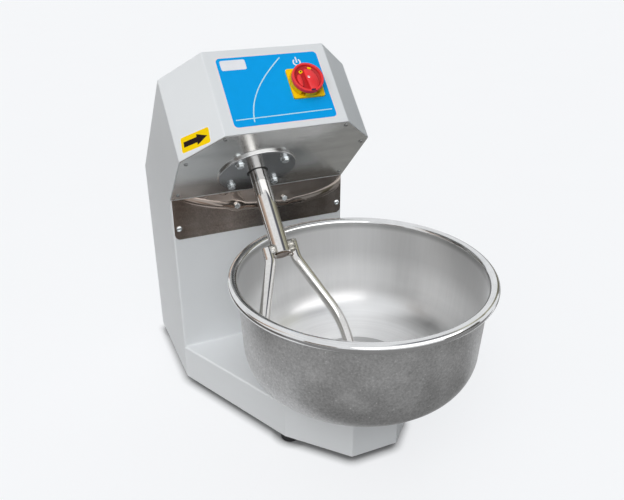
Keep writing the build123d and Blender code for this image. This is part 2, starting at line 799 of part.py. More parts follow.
rod_side = (shaft_diameter + rod_diameter) / 2
rod_spread_level = rod_bend + (rod_spread - rod_side) / tan(radians(rod_splay))
rods = (("fork_left_rod", -1, left_rod_start), ("fork_right_rod", 1, right_rod_start))
for name, way, rod_start in rods:
    with BuildPart() as fork_rod:
        with BuildLine(fork_flat) as rod_path:
            FilletPolyline(
                (way * rod_side, rod_start),
                (way * rod_side, rod_bend),
                (way * rod_spread, rod_spread_level),
                (way * rod_spread, rod_end),
                radius=[elbow_radius, tip_radius],
            )
        with BuildSketch(fork_cross.offset(rod_start)):
            with Locations((way * rod_side, 0)):
                Circle(rod_diameter / 2)
        sweep(path=rod_path.line)
        chamfer(fork_rod.faces().filter_by(GeomType.PLANE).edges(), 1.5)
    pieces[name] = fork_rod

bead_x = shaft_diameter / 2 + 1.5
bead_y = rod_diameter / 2 - 1
weld_start = max(left_rod_start, right_rod_start) + 2
with BuildPart() as fork_welds:
    with BuildSketch(fork_cross.offset(weld_start)):
        with Locations(*mirrored([(bead_x, bead_y), (bead_x, -bead_y)])):
            Circle(weld_bead)
        Circle(shaft_diameter / 2, mode=Mode.SUBTRACT)
        with Locations(*mirrored([(rod_side, 0)])):
            Circle(rod_diameter / 2, mode=Mode.SUBTRACT)
    extrude(amount=shaft_reach - weld_start - 4)
pieces["fork_welds"] = fork_welds


# Gears with involute teeth
def involute(angle):
    return tan(angle) - angle


def flank_angle(teeth, radius):
    """Half the angle that a tooth takes up at this radius."""
    pitch_radius = gear_module * teeth / 2
    base_radius = pitch_radius * cos(radians(pressure_angle))
    at_pitch = pi / (2 * teeth) - backlash / (2 * pitch_radius) + involute(radians(pressure_angle))
    return at_pitch - involute(acos(min(1, base_radius / radius)))


def polar(radius, angle):
    return (radius * cos(angle), radius * sin(angle))


def gear_outline(teeth, first):
    """Toothed outline in the line at hand, with the middle of a tooth at the first angle."""
    pitch_radius = gear_module * teeth / 2
    tip = pitch_radius + gear_module
    root = pitch_radius - 1.25 * gear_module
    start = max(root + 0.2, pitch_radius * cos(radians(pressure_angle)))
    middle = (start + tip) / 2
    for tooth in range(teeth):
        centre = radians(first) + tooth * 2 * pi / teeth
        following = centre + 2 * pi / teeth
        low, mid, high = (flank_angle(teeth, radius) for radius in (start, middle, tip))
        Line(polar(root, centre - low), polar(start, centre - low))
        ThreePointArc(polar(start, centre - low), polar(middle, centre - mid), polar(tip, centre - high))
        Line(polar(tip, centre - high), polar(tip, centre + high))
        ThreePointArc(polar(tip, centre + high), polar(middle, centre + mid), polar(start, centre + low))
        Line(polar(start, centre + low), polar(root, centre + low))
        Line(polar(root, centre + low), polar(root, following - low))


with BuildPart() as fork_gear:
    with BuildSketch(fork_axis.offset(gear_level - gear_face / 2)):
        with BuildLine():
            gear_outline(gear_teeth, -90)
        make_face()
        Circle(gear_seat / 2, mode=Mode.SUBTRACT)
        with PolarLocations(gear_module * gear_teeth * 0.3, 6, start_angle=30):
            Circle(gear_module * 4.5, mode=Mode.SUBTRACT)
    extrude(amount=gear_face)
pieces["fork_gear"] = fork_gear

pieces["shaft_nut"] = hex_nuts(
    fork_axis.offset(upper_top - 8), [(0, 0)], upper_seat / 2, upper_seat * 0.75, 6
)

# Layshaft: pinion below the upper plate, pulley above it
pinion_face = gear_face + 4
layshaft_line = Axis(layshaft_axis.origin, slope.z_dir)
layshaft_side = Plane(origin=layshaft_axis.origin, x_dir=(1, 0, 0), z_dir=slope.x_dir.cross(slope.z_dir))
pinion_start = gear_level + pinion_face / 2
with BuildPart() as layshaft:
    with BuildSketch(layshaft_axis.offset(plate_level - body_gap)):
        Circle(layshaft_diameter / 2)
    extrude(amount=pulley_level - pulley_width - 4 - plate_level + body_gap)
    with BuildSketch(layshaft_axis.offset(pinion_start)):
        Circle(layshaft_diameter / 2 + 2.5)
    extrude(amount=housing_level - 1.5 - pinion_start)
pieces["layshaft"] = layshaft

with BuildPart() as pinion:
    with BuildSketch(layshaft_axis.offset(gear_level - pinion_face / 2)):
        with BuildLine():
            gear_outline(pinion_teeth, 90 + 180 / pinion_teeth)
        make_face()
        Circle(layshaft_diameter / 2, mode=Mode.SUBTRACT)
    extrude(amount=pinion_face)
pieces["pinion"] = pinion


def pulley_outline(radius, bore):
    """Half section of a V-belt pulley in the line at hand: radius across, layer along."""
    slant = (belt_top - belt_bottom) / 2 / belt_height
    groove_top = belt_top / 2 + belt_gap
    groove_floor = groove_top - slant * groove_depth
    Polyline(
        (bore, pulley_level),
        (radius, pulley_level),
        (radius, belt_level + groove_top),
        (radius - groove_depth, belt_level + groove_floor),
        (radius - groove_depth, belt_level - groove_floor),
        (radius, belt_level - groove_top),
        (radius, pulley_level - pulley_width),
        (bore, pulley_level - pulley_width),
        close=True,
    )


with BuildPart() as driven_pulley:
    with BuildSketch(layshaft_side):
        with BuildLine():
            pulley_outline(driven_pulley_radius, layshaft_diameter / 2)
        make_face()
    revolve(axis=layshaft_line)
    with BuildSketch(layshaft_axis.offset(pulley_level)):
        with PolarLocations(driven_pulley_radius * 0.5, 5):
            Circle(driven_pulley_radius * 0.15)
    extrude(amount=-pulley_width, mode=Mode.SUBTRACT)
pieces["driven_pulley"] = driven_pulley

motor_line = Axis(motor_axis.origin, slope.z_dir)
motor_side = Plane(origin=motor_axis.origin, x_dir=(1, 0, 0), z_dir=layshaft_side.z_dir)
with BuildPart() as motor_pulley:
    with BuildSketch(motor_side):
        with BuildLine():
            pulley_outline(motor_pulley_radius, motor_shaft_diameter / 2)
        make_face()
    revolve(axis=motor_line)
pieces["motor_pulley"] = motor_pulley

# V-belt round both pulleys
belt_plane = layshaft_axis.offset(belt_level)
belt_distance = layshaft_run - motor_run
lean = -(driven_pulley_radius - motor_pulley_radius) / belt_distance
reach = sqrt(1 - lean * lean)
driven_touch = (driven_pulley_radius * reach, driven_pulley_radius * lean)
motor_touch = (motor_pulley_radius * reach, motor_pulley_radius * lean - belt_distance)
belt_start = belt_plane.from_local_coords((*driven_touch, 0))
belt_next = belt_plane.from_local_coords((*motor_touch, 0))
belt_section = Plane(origin=belt_start, x_dir=slope.z_dir, z_dir=belt_next - belt_start)
with BuildPart() as v_belt:
    with BuildLine(belt_plane) as belt_path:
        Line(driven_touch, motor_touch)
        ThreePointArc(
            motor_touch, (0, -belt_distance - motor_pulley_radius), (-motor_touch[0], motor_touch[1])
        )
        Line((-motor_touch[0], motor_touch[1]), (-driven_touch[0], driven_touch[1]))
        ThreePointArc((-driven_touch[0], driven_touch[1]), (0, driven_pulley_radius), driven_touch)
    with BuildSketch(belt_section):
        with BuildLine():
            Polyline(
                (-belt_top / 2, 0),
                (belt_top / 2, 0),
                (belt_bottom / 2, belt_height),
                (-belt_bottom / 2, belt_height),
                close=True,
            )
        make_face()
    sweep(path=belt_path.wire())
pieces["v_belt"] = v_belt

# Motor under the upper plate, in the column
shell_radius = motor_radius - fin_depth
bore_radius = shell_radius - motor_wall
motor_bolts = mirrored([(motor_bolt_place, motor_bolt_place), (motor_bolt_place, -motor_bolt_place)])
with BuildPart() as motor_flange_disc:
    with BuildSketch(motor_axis.offset(upper_level)):
        Circle(motor_flange_radius)
        Circle(motor_shaft_diameter / 2 + running_gap, mode=Mode.SUBTRACT)
        with Locations(*motor_bolts):
            Circle(deck_bolt_radius + running_gap, mode=Mode.SUBTRACT)
    extrude(amount=motor_flange)
pieces["motor_flange"] = motor_flange_disc
pieces["motor_bolts"] = headed_pins(
    Plane(origin=motor_axis.offset(upper_top).origin, x_dir=(1, 0, 0), z_dir=-slope.z_dir),
    motor_bolts, deck_bolt_radius, drive_plate + motor_flange - body_gap, hexagon=True,
)
with BuildPart() as motor_housing:
    with BuildSketch(motor_axis.offset(motor_start)):
        Circle(shell_radius)
        with PolarLocations(motor_radius - (fin_depth + fin_root) / 2, fin_count):
            Rectangle(fin_depth + fin_root, fin_width)
        Circle(bore_radius, mode=Mode.SUBTRACT)
    extrude(amount=motor_length)
    with BuildSketch(motor_axis.offset(motor_end)):
        Circle(shell_radius)
        Circle(motor_shaft_diameter / 2 + running_gap, mode=Mode.SUBTRACT)
    extrude(amount=-motor_wall)
pieces["motor_housing"] = motor_housing
stator_start = motor_start + stator_margin
stator_length = motor_length - stator_margin - motor_wall - stator_margin
pieces["motor_stator"] = rings(
    [motor_axis.offset(stator_start)], bore_radius, rotor_radius + air_gap, stator_length
)
pieces["motor_rotor"] = rings(
    [motor_axis.offset(stator_start + rotor_inset)], rotor_radius, motor_shaft_diameter / 2,
    stator_length - 2 * rotor_inset,
)
with BuildPart() as motor_shaft:
    with BuildSketch(motor_axis.offset(pulley_level - pulley_width - 2)):
        Circle(motor_shaft_diameter / 2)
    extrude(amount=motor_end + fan_cover_length * 0.7 - pulley_level + pulley_width + 2)
pieces["motor_shaft"] = motor_shaft
with BuildPart() as motor_fan:
    with BuildSketch(motor_axis.offset(motor_end + 6)):
        Circle(motor_shaft_diameter)
        with PolarLocations(motor_radius * 0.5, 7):
            Rectangle(motor_radius * 0.5, 2.5)
        Circle(motor_shaft_diameter / 2, mode=Mode.SUBTRACT)
    extrude(amount=fan_cover_length * 0.45)
pieces["motor_fan"] = motor_fan
with BuildPart() as fan_cover:
    with BuildSketch(motor_axis.offset(motor_end)):
        Circle(fan_radius)
    extrude(amount=fan_cover_length)
    cover_end = fan_cover.faces().sort_by(slope_normal)[-1]
    fillet(cover_end.edges(), 5)
    with BuildSketch(motor_axis.offset(motor_end)):
        Circle(fan_radius - fan_cover_sheet)
    extrude(amount=fan_cover_length - fan_cover_end, mode=Mode.SUBTRACT)
    with BuildSketch(motor_axis.offset(motor_end)):
        with PolarLocations(motor_radius * 0.62, 12):
            Circle(motor_radius * 0.09)
        with PolarLocations(motor_radius * 0.32, 6):
            Circle(motor_radius * 0.09)
    extrude(amount=fan_cover_length, mode=Mode.SUBTRACT)
pieces["motor_fan_cover"] = fan_cover
box_plane = Plane(
    origin=motor_axis.from_local_coords((motor_radius, 0, motor_start + motor_length * 0.4)),
    x_dir=slope.y_dir, z_dir=slope.x_dir,
)
with BuildPart() as terminal_box:
    with BuildSketch(box_plane):
        RectangleRounded(terminal_width, terminal_length, terminal_height / 6)
    extrude(amount=terminal_height)
    fillet(terminal_box.faces().sort_by(Axis.X)[-1].edges(), terminal_height / 12)
pieces["terminal_box"] = terminal_box

# Main switch
with BuildPart() as switch_plate:
    with BuildSketch(switch):
        RectangleRounded(switch_plate_size, switch_plate_size, 4)
        Circle(spindle_size / 2 + body_gap, mode=Mode.SUBTRACT)
    extrude(amount=switch_plate_thickness)
    fillet(switch_plate.faces().sort_by(Axis(switch.origin, switch.z_dir))[-1].outer_wire().edges(), 1)
pieces["switch_plate"] = switch_plate
with BuildPart() as switch_collar:
    with BuildSketch(switch.offset(switch_plate_thickness)):
        Circle(collar_radius)
        Circle(spindle_size / 2 + body_gap, mode=Mode.SUBTRACT)
    extrude(amount=collar_height)
    with BuildSketch(switch.offset(switch_plate_thickness)):
        for angle in (-90 - lock_slot_angle, -90 + lock_slot_angle):
            with PolarLocations(collar_radius, 1, start_angle=angle):
                Rectangle(2 * lock_slot_depth, lock_slot)
    extrude(amount=collar_height, mode=Mode.SUBTRACT)
pieces["switch_collar"] = switch_collar
handle_level = switch_plate_thickness + collar_height + body_gap
handle_top = handle_level + handle_height
screw_seat = handle_top - handle_screw_sink
socket_end = handle_level + handle_socket
switch_line = Axis(switch.origin, switch.z_dir)
with BuildPart() as switch_handle:
    with BuildSketch(switch.offset(handle_level)):
        Circle(handle_radius)
    extrude(amount=handle_height)
    fillet(switch_handle.faces().sort_by(switch_line)[-1].edges(), 1.5)
    with BuildSketch(switch.offset(handle_top)):
        Circle(handle_radius - handle_wall)
        Circle(grip_radius, mode=Mode.SUBTRACT)
    extrude(amount=-handle_recess, mode=Mode.SUBTRACT)
    with BuildSketch(switch.offset(handle_top)):
        Circle(grip_radius - grip_wall)
        with Locations((-grip_edge, 0)):
            Rectangle(2 * grip_radius, 2 * grip_radius, align=(Align.MAX, Align.CENTER), mode=Mode.INTERSECT)
    extrude(amount=-handle_recess, mode=Mode.SUBTRACT)
    with BuildSketch(switch.offset(screw_seat)):
        Circle(round_head * handle_screw_radius + screw_gap)
    extrude(amount=handle_height, mode=Mode.SUBTRACT)
    with BuildSketch(switch.offset(handle_level)):
        Circle(handle_screw_radius + screw_gap)
    extrude(amount=handle_height, mode=Mode.SUBTRACT)
    with BuildSketch(switch.offset(handle_level)):
        Circle(spindle_size / 2)
    extrude(amount=socket_end - handle_level, mode=Mode.SUBTRACT)
pieces["switch_handle"] = switch_handle
pieces["handle_screw"] = headed_pins(
    switch.offset(screw_seat), [(0, 0)], handle_screw_radius, screw_seat - socket_end + spindle_size
)
with BuildPart() as switch_spindle:
    with BuildSketch(switch.offset(socket_end)):
        Circle(spindle_size / 2)
    extrude(amount=-socket_end - switch_box_depth * 0.6)
    with BuildSketch(switch.offset(socket_end)):
        Circle(handle_screw_radius)
    extrude(amount=-spindle_size, mode=Mode.SUBTRACT)
pieces["switch_spindle"] = switch_spindle
with BuildPart() as switch_body:
    with BuildSketch(switch.offset(-sheet)):
        RectangleRounded(switch_box, switch_box, 3)
    extrude(amount=-switch_box_depth)
    with BuildSketch(switch.offset(-sheet)):
        Circle(spindle_size / 2 + running_gap)
    extrude(amount=-switch_box_depth * 0.6, mode=Mode.SUBTRACT)
pieces["switch_body"] = switch_body

# Rear cover with louvres, and the cable gland
cover_middle = (cover_margin + cover_top) / 2
louvre_rows = 8
louvre_pitch = 20.0
with BuildPart() as rear_cover:
    with BuildSketch(rear):
        with Locations((0, cover_middle)):
            RectangleRounded(body_width - 2 * cover_margin, cover_top - cover_margin, 6)
        holes(cover_screws, cover_screw_radius)
        holes([gland_place], gland_radius)
        with Locations((0, cover_middle)):
            with GridLocations(body_width * 0.38, louvre_pitch, 2, louvre_rows):
                SlotOverall(body_width * 0.3, 7, mode=Mode.SUBTRACT)
    extrude(amount=cover_sheet)
pieces["rear_cover"] = rear_cover
pieces["rear_cover_screws"] = headed_pins(
    rear.offset(cover_sheet), cover_screws, cover_screw_radius, cover_sheet + 2 * sheet
)
gland_face = rear.offset(cover_sheet)
with BuildPart() as cable_gland:
    with BuildSketch(gland_face):
        with Locations(gland_place):
            RegularPolygon(radius=gland_hex / 2, side_count=6, major_radius=False)
    extrude(amount=gland_hex_height)
    with BuildSketch(gland_face.offset(gland_hex_height)):
        with Locations(gland_place):
            Circle(gland_radius + 1)
    extrude(amount=gland_dome)
    fillet(cable_gland.faces().sort_by(Axis.Y)[-1].edges(), 3)
    with BuildSketch(gland_face):
        with Locations(gland_place):
            Circle(gland_radius)
    extrude(amount=-cover_sheet - 11)
    with BuildSketch(gland_face.offset(gland_hex_height + gland_dome)):
        with Locations(gland_place):
            Circle(gland_radius / 2)
    extrude(amount=-rear_reach - 11, mode=Mode.SUBTRACT)
pieces["cable_gland"] = cable_gland

for name, piece in pieces.items():
    piece.part.label = name
    export_step(piece.part, f"parts/{name}.step")
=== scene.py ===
# %% [markdown]
# # A fork mixer for dough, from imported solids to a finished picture
# The machine is a painted sheet-metal column that leans a head over a stainless bowl.
# A slanted shaft with two bent rods, the fork, turns in the bowl and the dough drags the bowl round with it.
# The solids come packed, in metres and in their place, so nothing has to be fitted here.
# We only add finishes, small pieces that sheet-metal solids leave out, and a studio.

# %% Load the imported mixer
import json
import random
from math import atan2, cos, pi, radians, sin, sqrt

import bpy
from mathutils import Matrix, Vector, noise


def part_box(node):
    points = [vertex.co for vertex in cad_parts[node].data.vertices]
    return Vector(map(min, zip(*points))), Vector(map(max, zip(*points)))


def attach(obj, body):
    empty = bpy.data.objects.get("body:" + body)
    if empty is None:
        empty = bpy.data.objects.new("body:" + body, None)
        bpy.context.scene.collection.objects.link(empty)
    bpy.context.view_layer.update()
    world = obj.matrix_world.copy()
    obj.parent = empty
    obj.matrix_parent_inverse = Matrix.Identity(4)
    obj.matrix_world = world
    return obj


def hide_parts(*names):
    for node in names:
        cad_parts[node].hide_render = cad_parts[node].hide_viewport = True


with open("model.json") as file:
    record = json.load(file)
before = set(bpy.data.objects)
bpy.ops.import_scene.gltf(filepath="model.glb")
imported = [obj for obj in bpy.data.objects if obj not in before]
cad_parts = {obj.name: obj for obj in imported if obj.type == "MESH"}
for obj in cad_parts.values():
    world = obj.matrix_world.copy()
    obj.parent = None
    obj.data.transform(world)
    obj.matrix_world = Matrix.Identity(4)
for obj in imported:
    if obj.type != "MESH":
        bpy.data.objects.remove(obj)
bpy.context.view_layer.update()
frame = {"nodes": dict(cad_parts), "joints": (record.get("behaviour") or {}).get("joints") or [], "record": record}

MM = 0.001
scene = bpy.context.scene

# %% [markdown]
# ## Places that everything else hangs on
# A picture of a machine hangs on a few places: the control panel, the slope under the head, the bowl's axis.
# We could type their coordinates, but the joints already hold them: each joint has a point and an axis.
# A plane becomes a matrix whose columns are right, up and outward, so a flat piece can be drawn in
# its own millimetres and then set on the machine in one step.

# %% Planes from the joints
joints = {j["name"]: j for j in frame["joints"]}


def plane(origin, right, outward):
    """Matrix from a plane's own axes (right, up, outward) to the machine's."""
    right, outward = Vector(right).normalized(), Vector(outward).normalized()
    columns = (right, outward.cross(right), outward)
    turn = Matrix([[c[k] for c in columns] for k in range(3)]).to_4x4()
    return Matrix.Translation(Vector(origin)) @ turn


RIGHT = Vector((1, 0, 0))
switch_place = plane(joints["switch_turn"]["pos_m"], RIGHT, joints["switch_turn"]["axis"])
fork_down = Vector(joints["fork_spin"]["axis"])
fork_place = plane(joints["fork_spin"]["pos_m"], RIGHT, fork_down)
bowl_axis = Vector(joints["bowl_spin"]["pos_m"])
bowl_place = Matrix.Translation((bowl_axis.x, bowl_axis.y, 0))
PANEL_TO_SWITCH = Vector((59, 91, 0)) * MM
panel_place = switch_place @ Matrix.Translation(-PANEL_TO_SWITCH)
print("panel's lower edge is at", [round(v, 4) for v in panel_place.translation])

# %% [markdown]
# ## Building materials from nodes
# A finish on a real machine is never one colour: paint has orange peel, steel has grain, plastic has the fine
# texture of its mould.
# Each finish here is a small network of noise textures that feed the colour, the roughness and a bump.
# Writing every link by hand gets long, so these helpers add a node and fill its inputs in one line.
# Numbers that are the same all over a surface stay on the shader's own sockets.

# %% Helpers for nodes
def new_finish(name):
    """A material with a principled shader: gives the material, its tree and the shader."""
    finish = bpy.data.materials.new(name)
    finish.use_nodes = True
    return finish, finish.node_tree, finish.node_tree.nodes["Principled BSDF"]


def fill(tree, socket, value):
    """Link another node's socket to this one, or set this one's own value."""
    if isinstance(value, bpy.types.NodeSocket):
        tree.links.new(value, socket)
    else:
        socket.default_value = value


def add(tree, kind, inputs=None, **options):
    """Add a node, set its options, then fill its inputs with numbers or with other nodes' sockets."""
    node = tree.nodes.new("ShaderNode" + kind)
    for option, value in options.items():
        setattr(node, option, value)
    for name, value in (inputs or {}).items():
        fill(tree, node.inputs[name], value)
    return node


def own(tree):
    """The piece's own coordinates."""
    return add(tree, "TexCoord").outputs["Object"]


def stretched(tree, stretch):
    """The piece's own coordinates, squeezed so that noise draws out into long marks."""
    return add(tree, "Mapping", {"Vector": own(tree), "Scale": stretch}).outputs["Vector"]


def dress(tree, shader, colour, rough, normal, metal=0.0):
    """Fill the four inputs that make up most finishes."""
    inputs = {"Base Color": colour, "Roughness": rough, "Normal": normal, "Metallic": metal}
    for name, value in inputs.items():
        fill(tree, shader.inputs[name], value)


print("helpers for nodes are ready")

# %% [markdown]
# ## Patterns and colours
# Noise gives every finish its unevenness, and sums, bands and mixes turn the noise into a colour or a gloss.
# Each finish could spell out these nodes for itself, but with a name for each step it reads like a recipe.

# %% Helpers for patterns and colours
def grain(tree, coords, scale, detail=3.0, roughness=0.55, warp=0.0):
    """Cloudy noise from 0 to 1, with this many lumps to the metre."""
    inputs = {"Vector": coords, "Scale": scale, "Detail": detail, "Roughness": roughness, "Distortion": warp}
    return add(tree, "TexNoise", inputs).outputs["Fac"]


def between(tree, value, low, high, start=0.3, end=0.7):
    """Stretch a value that runs from start to end so that it runs from low to high."""
    inputs = {"Value": value, "From Min": start, "From Max": end, "To Min": low, "To Max": high}
    return add(tree, "MapRange", inputs).outputs["Result"]


def ramp(tree, value, *stops):
    """Colour looked up along a band of (place, colour) stops; a single number is a grey."""
    node = add(tree, "ValToRGB", {"Fac": value})
    band = node.color_ramp.elements
    while len(band) < len(stops):
        band.new(0.5)
    for element, (place, colour) in zip(band, stops):
        tone = colour if isinstance(colour, tuple) else (colour,) * 3
        element.position, element.color = place, (*tone, 1.0)
    return node.outputs["Color"]


def calc(tree, kind, *values):
    """Arithmetic on numbers."""
    return add(tree, "Math", dict(enumerate(values)), operation=kind).outputs[0]


def weighed(tree, first, share, second, rest):
    """Two values added in these shares."""
    return calc(tree, "ADD", calc(tree, "MULTIPLY", first, share), calc(tree, "MULTIPLY", second, rest))


def blend(tree, share, first, second, kind="MIX"):
    """Two colours mixed, or one laid over the other."""
    inputs = {0: share, 6: first, 7: second}
    return add(tree, "Mix", inputs, data_type="RGBA", blend_type=kind).outputs[2]


def vector_calc(tree, kind, *values):
    """Arithmetic on vectors; a length, a distance and a dot product give a number."""
    node = add(tree, "VectorMath", dict(enumerate(values)), operation=kind)
    return node.outputs["Value" if kind in ("LENGTH", "DISTANCE", "DOT_PRODUCT") else "Vector"]


def along_axis(tree, coords, axis):
    """One coordinate by itself."""
    return add(tree, "SeparateXYZ", {0: coords}).outputs[axis]


def openness(tree, distance, samples):
    """1 on an open surface, less where something else is nearer than this distance."""
    return add(tree, "AmbientOcclusion", {"Distance": distance}, samples=samples).outputs["AO"]


def bump(tree, height, strength, distance):
    """Unevenness that only the light feels."""
    inputs = {"Height": height, "Strength": strength, "Distance": distance}
    return add(tree, "Bump", inputs).outputs["Normal"]


def wash(colour, by):
    """The colour made lighter or darker."""
    return tuple(min(1.0, c * by) for c in colour)


print("helpers for patterns are ready")

# %% [markdown]
# ## Paint
# The shell is powder coated: a slightly cool white, satin, with a fine orange peel that breaks up highlights.
# A photograph of paint could be tiled over it, but a tile repeats and needs unwrapping.
# Noise in the piece's own metres gives the same peel size on every panel, so each painted piece gets that.

# %% Painted finishes
def paint(name, colour, rough=(0.42, 0.54), peel=900.0, depth=0.16, drift=0.025):
    finish, tree, shader = new_finish(name)
    coords = own(tree)
    slow = grain(tree, coords, 5.0, 3.0)
    fine = grain(tree, coords, peel, 2.0, 0.6)
    tone = weighed(tree, slow, 0.8, fine, 0.2)
    skin = ramp(tree, tone, (0.3, wash(colour, 1 - drift)), (0.7, wash(colour, 1 + drift)))
    dress(tree, shader, skin, between(tree, fine, *rough), bump(tree, fine, depth, 0.0003))
    return finish


powder_white = paint("powder_white", (0.775, 0.795, 0.81))
primer_grey = paint("primer_grey", (0.40, 0.41, 0.42), (0.6, 0.75), 700, 0.2, 0.06)
motor_grey = paint("motor_grey", (0.20, 0.22, 0.25), (0.4, 0.55), 600, 0.2, 0.06)
casting_grey = paint("casting_grey", (0.16, 0.165, 0.17), (0.55, 0.7), 420, 0.6, 0.12)
print("paints:", [m.name for m in (powder_white, primer_grey, motor_grey, casting_grey)])

# %% [markdown]
# ## Steel in several states
# Nearly every other part is steel, and what tells one from another is its working: rolled, ground, turned or
# polished. One recipe covers them: a fine noise and a slow one set the colour, the gloss and a faint bump.
# For the rolled sheet the fine noise is stretched along the way it was rolled.

# %% Steel finishes
def steel(name, dark, light, rough, scale, depth, cloud, stretch=(1, 1, 1)):
    finish, tree, shader = new_finish(name)
    marks = grain(tree, stretched(tree, stretch), scale, 4.0, 0.6)
    clouds = grain(tree, own(tree), cloud, 3.0)
    both = weighed(tree, marks, 0.55, clouds, 0.45)
    dress(tree, shader, ramp(tree, both, (0.35, dark), (0.65, light)),
          between(tree, both, *rough, 0.35, 0.65), bump(tree, marks, depth, 0.0002), 1.0)
    return finish


rolled_sheet = steel("rolled_sheet", (0.50, 0.505, 0.50), (0.66, 0.66, 0.65), (0.15, 0.26), 26, 0.02, 9,
                     (0.4, 1, 1))
fork_bar = steel("fork_bar", (0.67, 0.655, 0.635), (0.77, 0.755, 0.74), (0.03, 0.09), 240, 0.02, 14)
bright_bolt = steel("bright_bolt", (0.58, 0.615, 0.63), (0.76, 0.79, 0.80), (0.14, 0.30), 420, 0.08, 90)
zinc_bolt = steel("zinc_bolt", (0.42, 0.42, 0.36), (0.58, 0.57, 0.50), (0.25, 0.4), 380, 0.1, 60)
dull_screw = steel("dull_screw", (0.24, 0.245, 0.245), (0.36, 0.365, 0.36), (0.28, 0.42), 420, 0.08, 90)
ground_ring = steel("ground_ring", (0.55, 0.55, 0.56), (0.66, 0.66, 0.67), (0.12, 0.2), 500, 0.03, 40)
turned_bar = steel("turned_bar", 0.42, 0.54, (0.2, 0.34), 500, 0.08, 40)
oiled_gear = steel("oiled_gear", (0.20, 0.19, 0.175), (0.32, 0.31, 0.30), (0.16, 0.4), 120, 0.05, 30)
pulley_iron = steel("pulley_iron", (0.16, 0.16, 0.165), (0.26, 0.26, 0.27), (0.4, 0.6), 300, 0.3, 25)
print("steels:", [m.name for m in (rolled_sheet, fork_bar, bright_bolt, zinc_bolt, dull_screw, ground_ring)],
      [m.name for m in (turned_bar, oiled_gear, pulley_iron)])

# %% [markdown]
# ## Mirror guard, turned flange and stacked motor core
# Three steels need their own pattern.
# The guard on the column is mirror sheet that its two bolts pull in a little, so reflections bend near them.
# The flange on the shaft was faced on a lathe, which leaves rings about the shaft's axis.
# The motor's core is a stack of thin sheets, which shows as lines across its axis.

# %% Steels with their own pattern
def from_axis(tree, point, direction):
    """Distance from an axis, at each point of the surface."""
    offset = vector_calc(tree, "SUBTRACT", own(tree), point)
    return vector_calc(tree, "LENGTH", vector_calc(tree, "CROSS_PRODUCT", offset, direction))


def ring_marks(tree, radius, per_metre, detail):
    """Noise that changes with the radius alone."""
    inputs = {"W": calc(tree, "MULTIPLY", radius, per_metre), "Detail": detail, "Scale": 1.0}
    return add(tree, "TexNoise", inputs, noise_dimensions="1D").outputs["Fac"]


DIMPLE_FOOT, DIMPLE_EDGE = 0.003, 0.024
# Where the painted dark reflection on the guard's right begins, and where it is full.
WIPED_FROM, WIPED_TO = -0.14, -0.05


def mirror_sheet(name, pulls):
    """Polished sheet, drawn in at these points, with a painted reflection: a dark brown tone, darker still on its
    right.
    """
    finish, tree, shader = new_finish(name)
    coords = own(tree)
    smears = grain(tree, stretched(tree, (7, 1, 60)), 1.0, 4.0, 0.6, 0.6)
    clouds = weighed(tree, grain(tree, coords, 11.0, 3.0), 0.6, smears, 0.4)
    height = calc(tree, "MULTIPLY", grain(tree, coords, 5.0, 1.0), 0.5)
    for point in pulls:
        away = vector_calc(tree, "DISTANCE", coords, point)
        inputs = {"Value": away, "From Min": DIMPLE_FOOT, "From Max": DIMPLE_EDGE,
                  "To Min": -0.5, "To Max": 0.0}
        dimple = add(tree, "MapRange", inputs, interpolation_type="SMOOTHERSTEP").outputs["Result"]
        height = calc(tree, "ADD", height, dimple)
    # Painted reflection: the dark brown tone stands in for the dark brown ground that the sheet mirrors.
    film = ramp(tree, clouds, (0.38, (0.36, 0.285, 0.24)), (0.62, (0.50, 0.43, 0.385)))
    # Painted reflection: the right of the sheet is darker, for the dark surroundings it mirrors there.
    across = between(tree, along_axis(tree, coords, "X"), 0.0, 1.0, WIPED_FROM, WIPED_TO)
    wiped = ramp(tree, across, (0.0, 1.0), (1.0, (0.50, 0.52, 0.53)))
    dress(tree, shader, blend(tree, 1.0, film, wiped, "MULTIPLY"), between(tree, clouds, 0.02, 0.05),
          bump(tree, height, 0.35, 0.0016), 1.0)
    return finish


def ringed_steel(name, point, direction, dark, light, rough, pitch, depth, edge):
    """Steel faced on a lathe, with a plain outside beyond the radius of its edge."""
    finish, tree, shader = new_finish(name)
    radius = from_axis(tree, point, direction)
    rings = ring_marks(tree, radius, 1.0 / pitch, 3.0)
    clouds = grain(tree, own(tree), 20.0)
    both = weighed(tree, rings, 0.6, clouds, 0.4)
    face = ramp(tree, both, (0.35, dark), (0.65, light))
    outside = between(tree, radius, 0.0, 1.0, edge - 0.0012, edge - 0.0004)
    dress(tree, shader, blend(tree, outside, face, (0.60, 0.60, 0.60, 1.0)), between(tree, both, *rough),
          bump(tree, rings, depth, 0.0002), 1.0)
    return finish


def stacked_sheets(name, along):
    """Thin sheets one on another, a millimetre each."""
    finish, tree, shader = new_finish(name)
    coords = own(tree)
    depth = vector_calc(tree, "DOT_PRODUCT", coords, along)
    lines = calc(tree, "PINGPONG", calc(tree, "MULTIPLY", depth, 1000.0), 0.5)
    clouds = grain(tree, coords, 60.0)
    dress(tree, shader, ramp(tree, clouds, (0.3, (0.16, 0.14, 0.13)), (0.7, (0.26, 0.25, 0.24))),
          between(tree, lines, 0.35, 0.6, 0.0, 0.5), bump(tree, lines, 0.3, 0.0003), 0.9)
    return finish


guard_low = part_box("splash_guard")[0]
bolt_low, bolt_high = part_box("guard_bolts")
bolt_inset = (bolt_high.z - bolt_low.z) / 2
bolt_places = [Vector((x, guard_low.y, (bolt_low.z + bolt_high.z) / 2))
               for x in (bolt_low.x + bolt_inset, bolt_high.x - bolt_inset)]
mirror_guard = mirror_sheet("mirror_guard", bolt_places)
flange_low, flange_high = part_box("bearing_flange")
flange_edge = (flange_high.x - flange_low.x) / 2
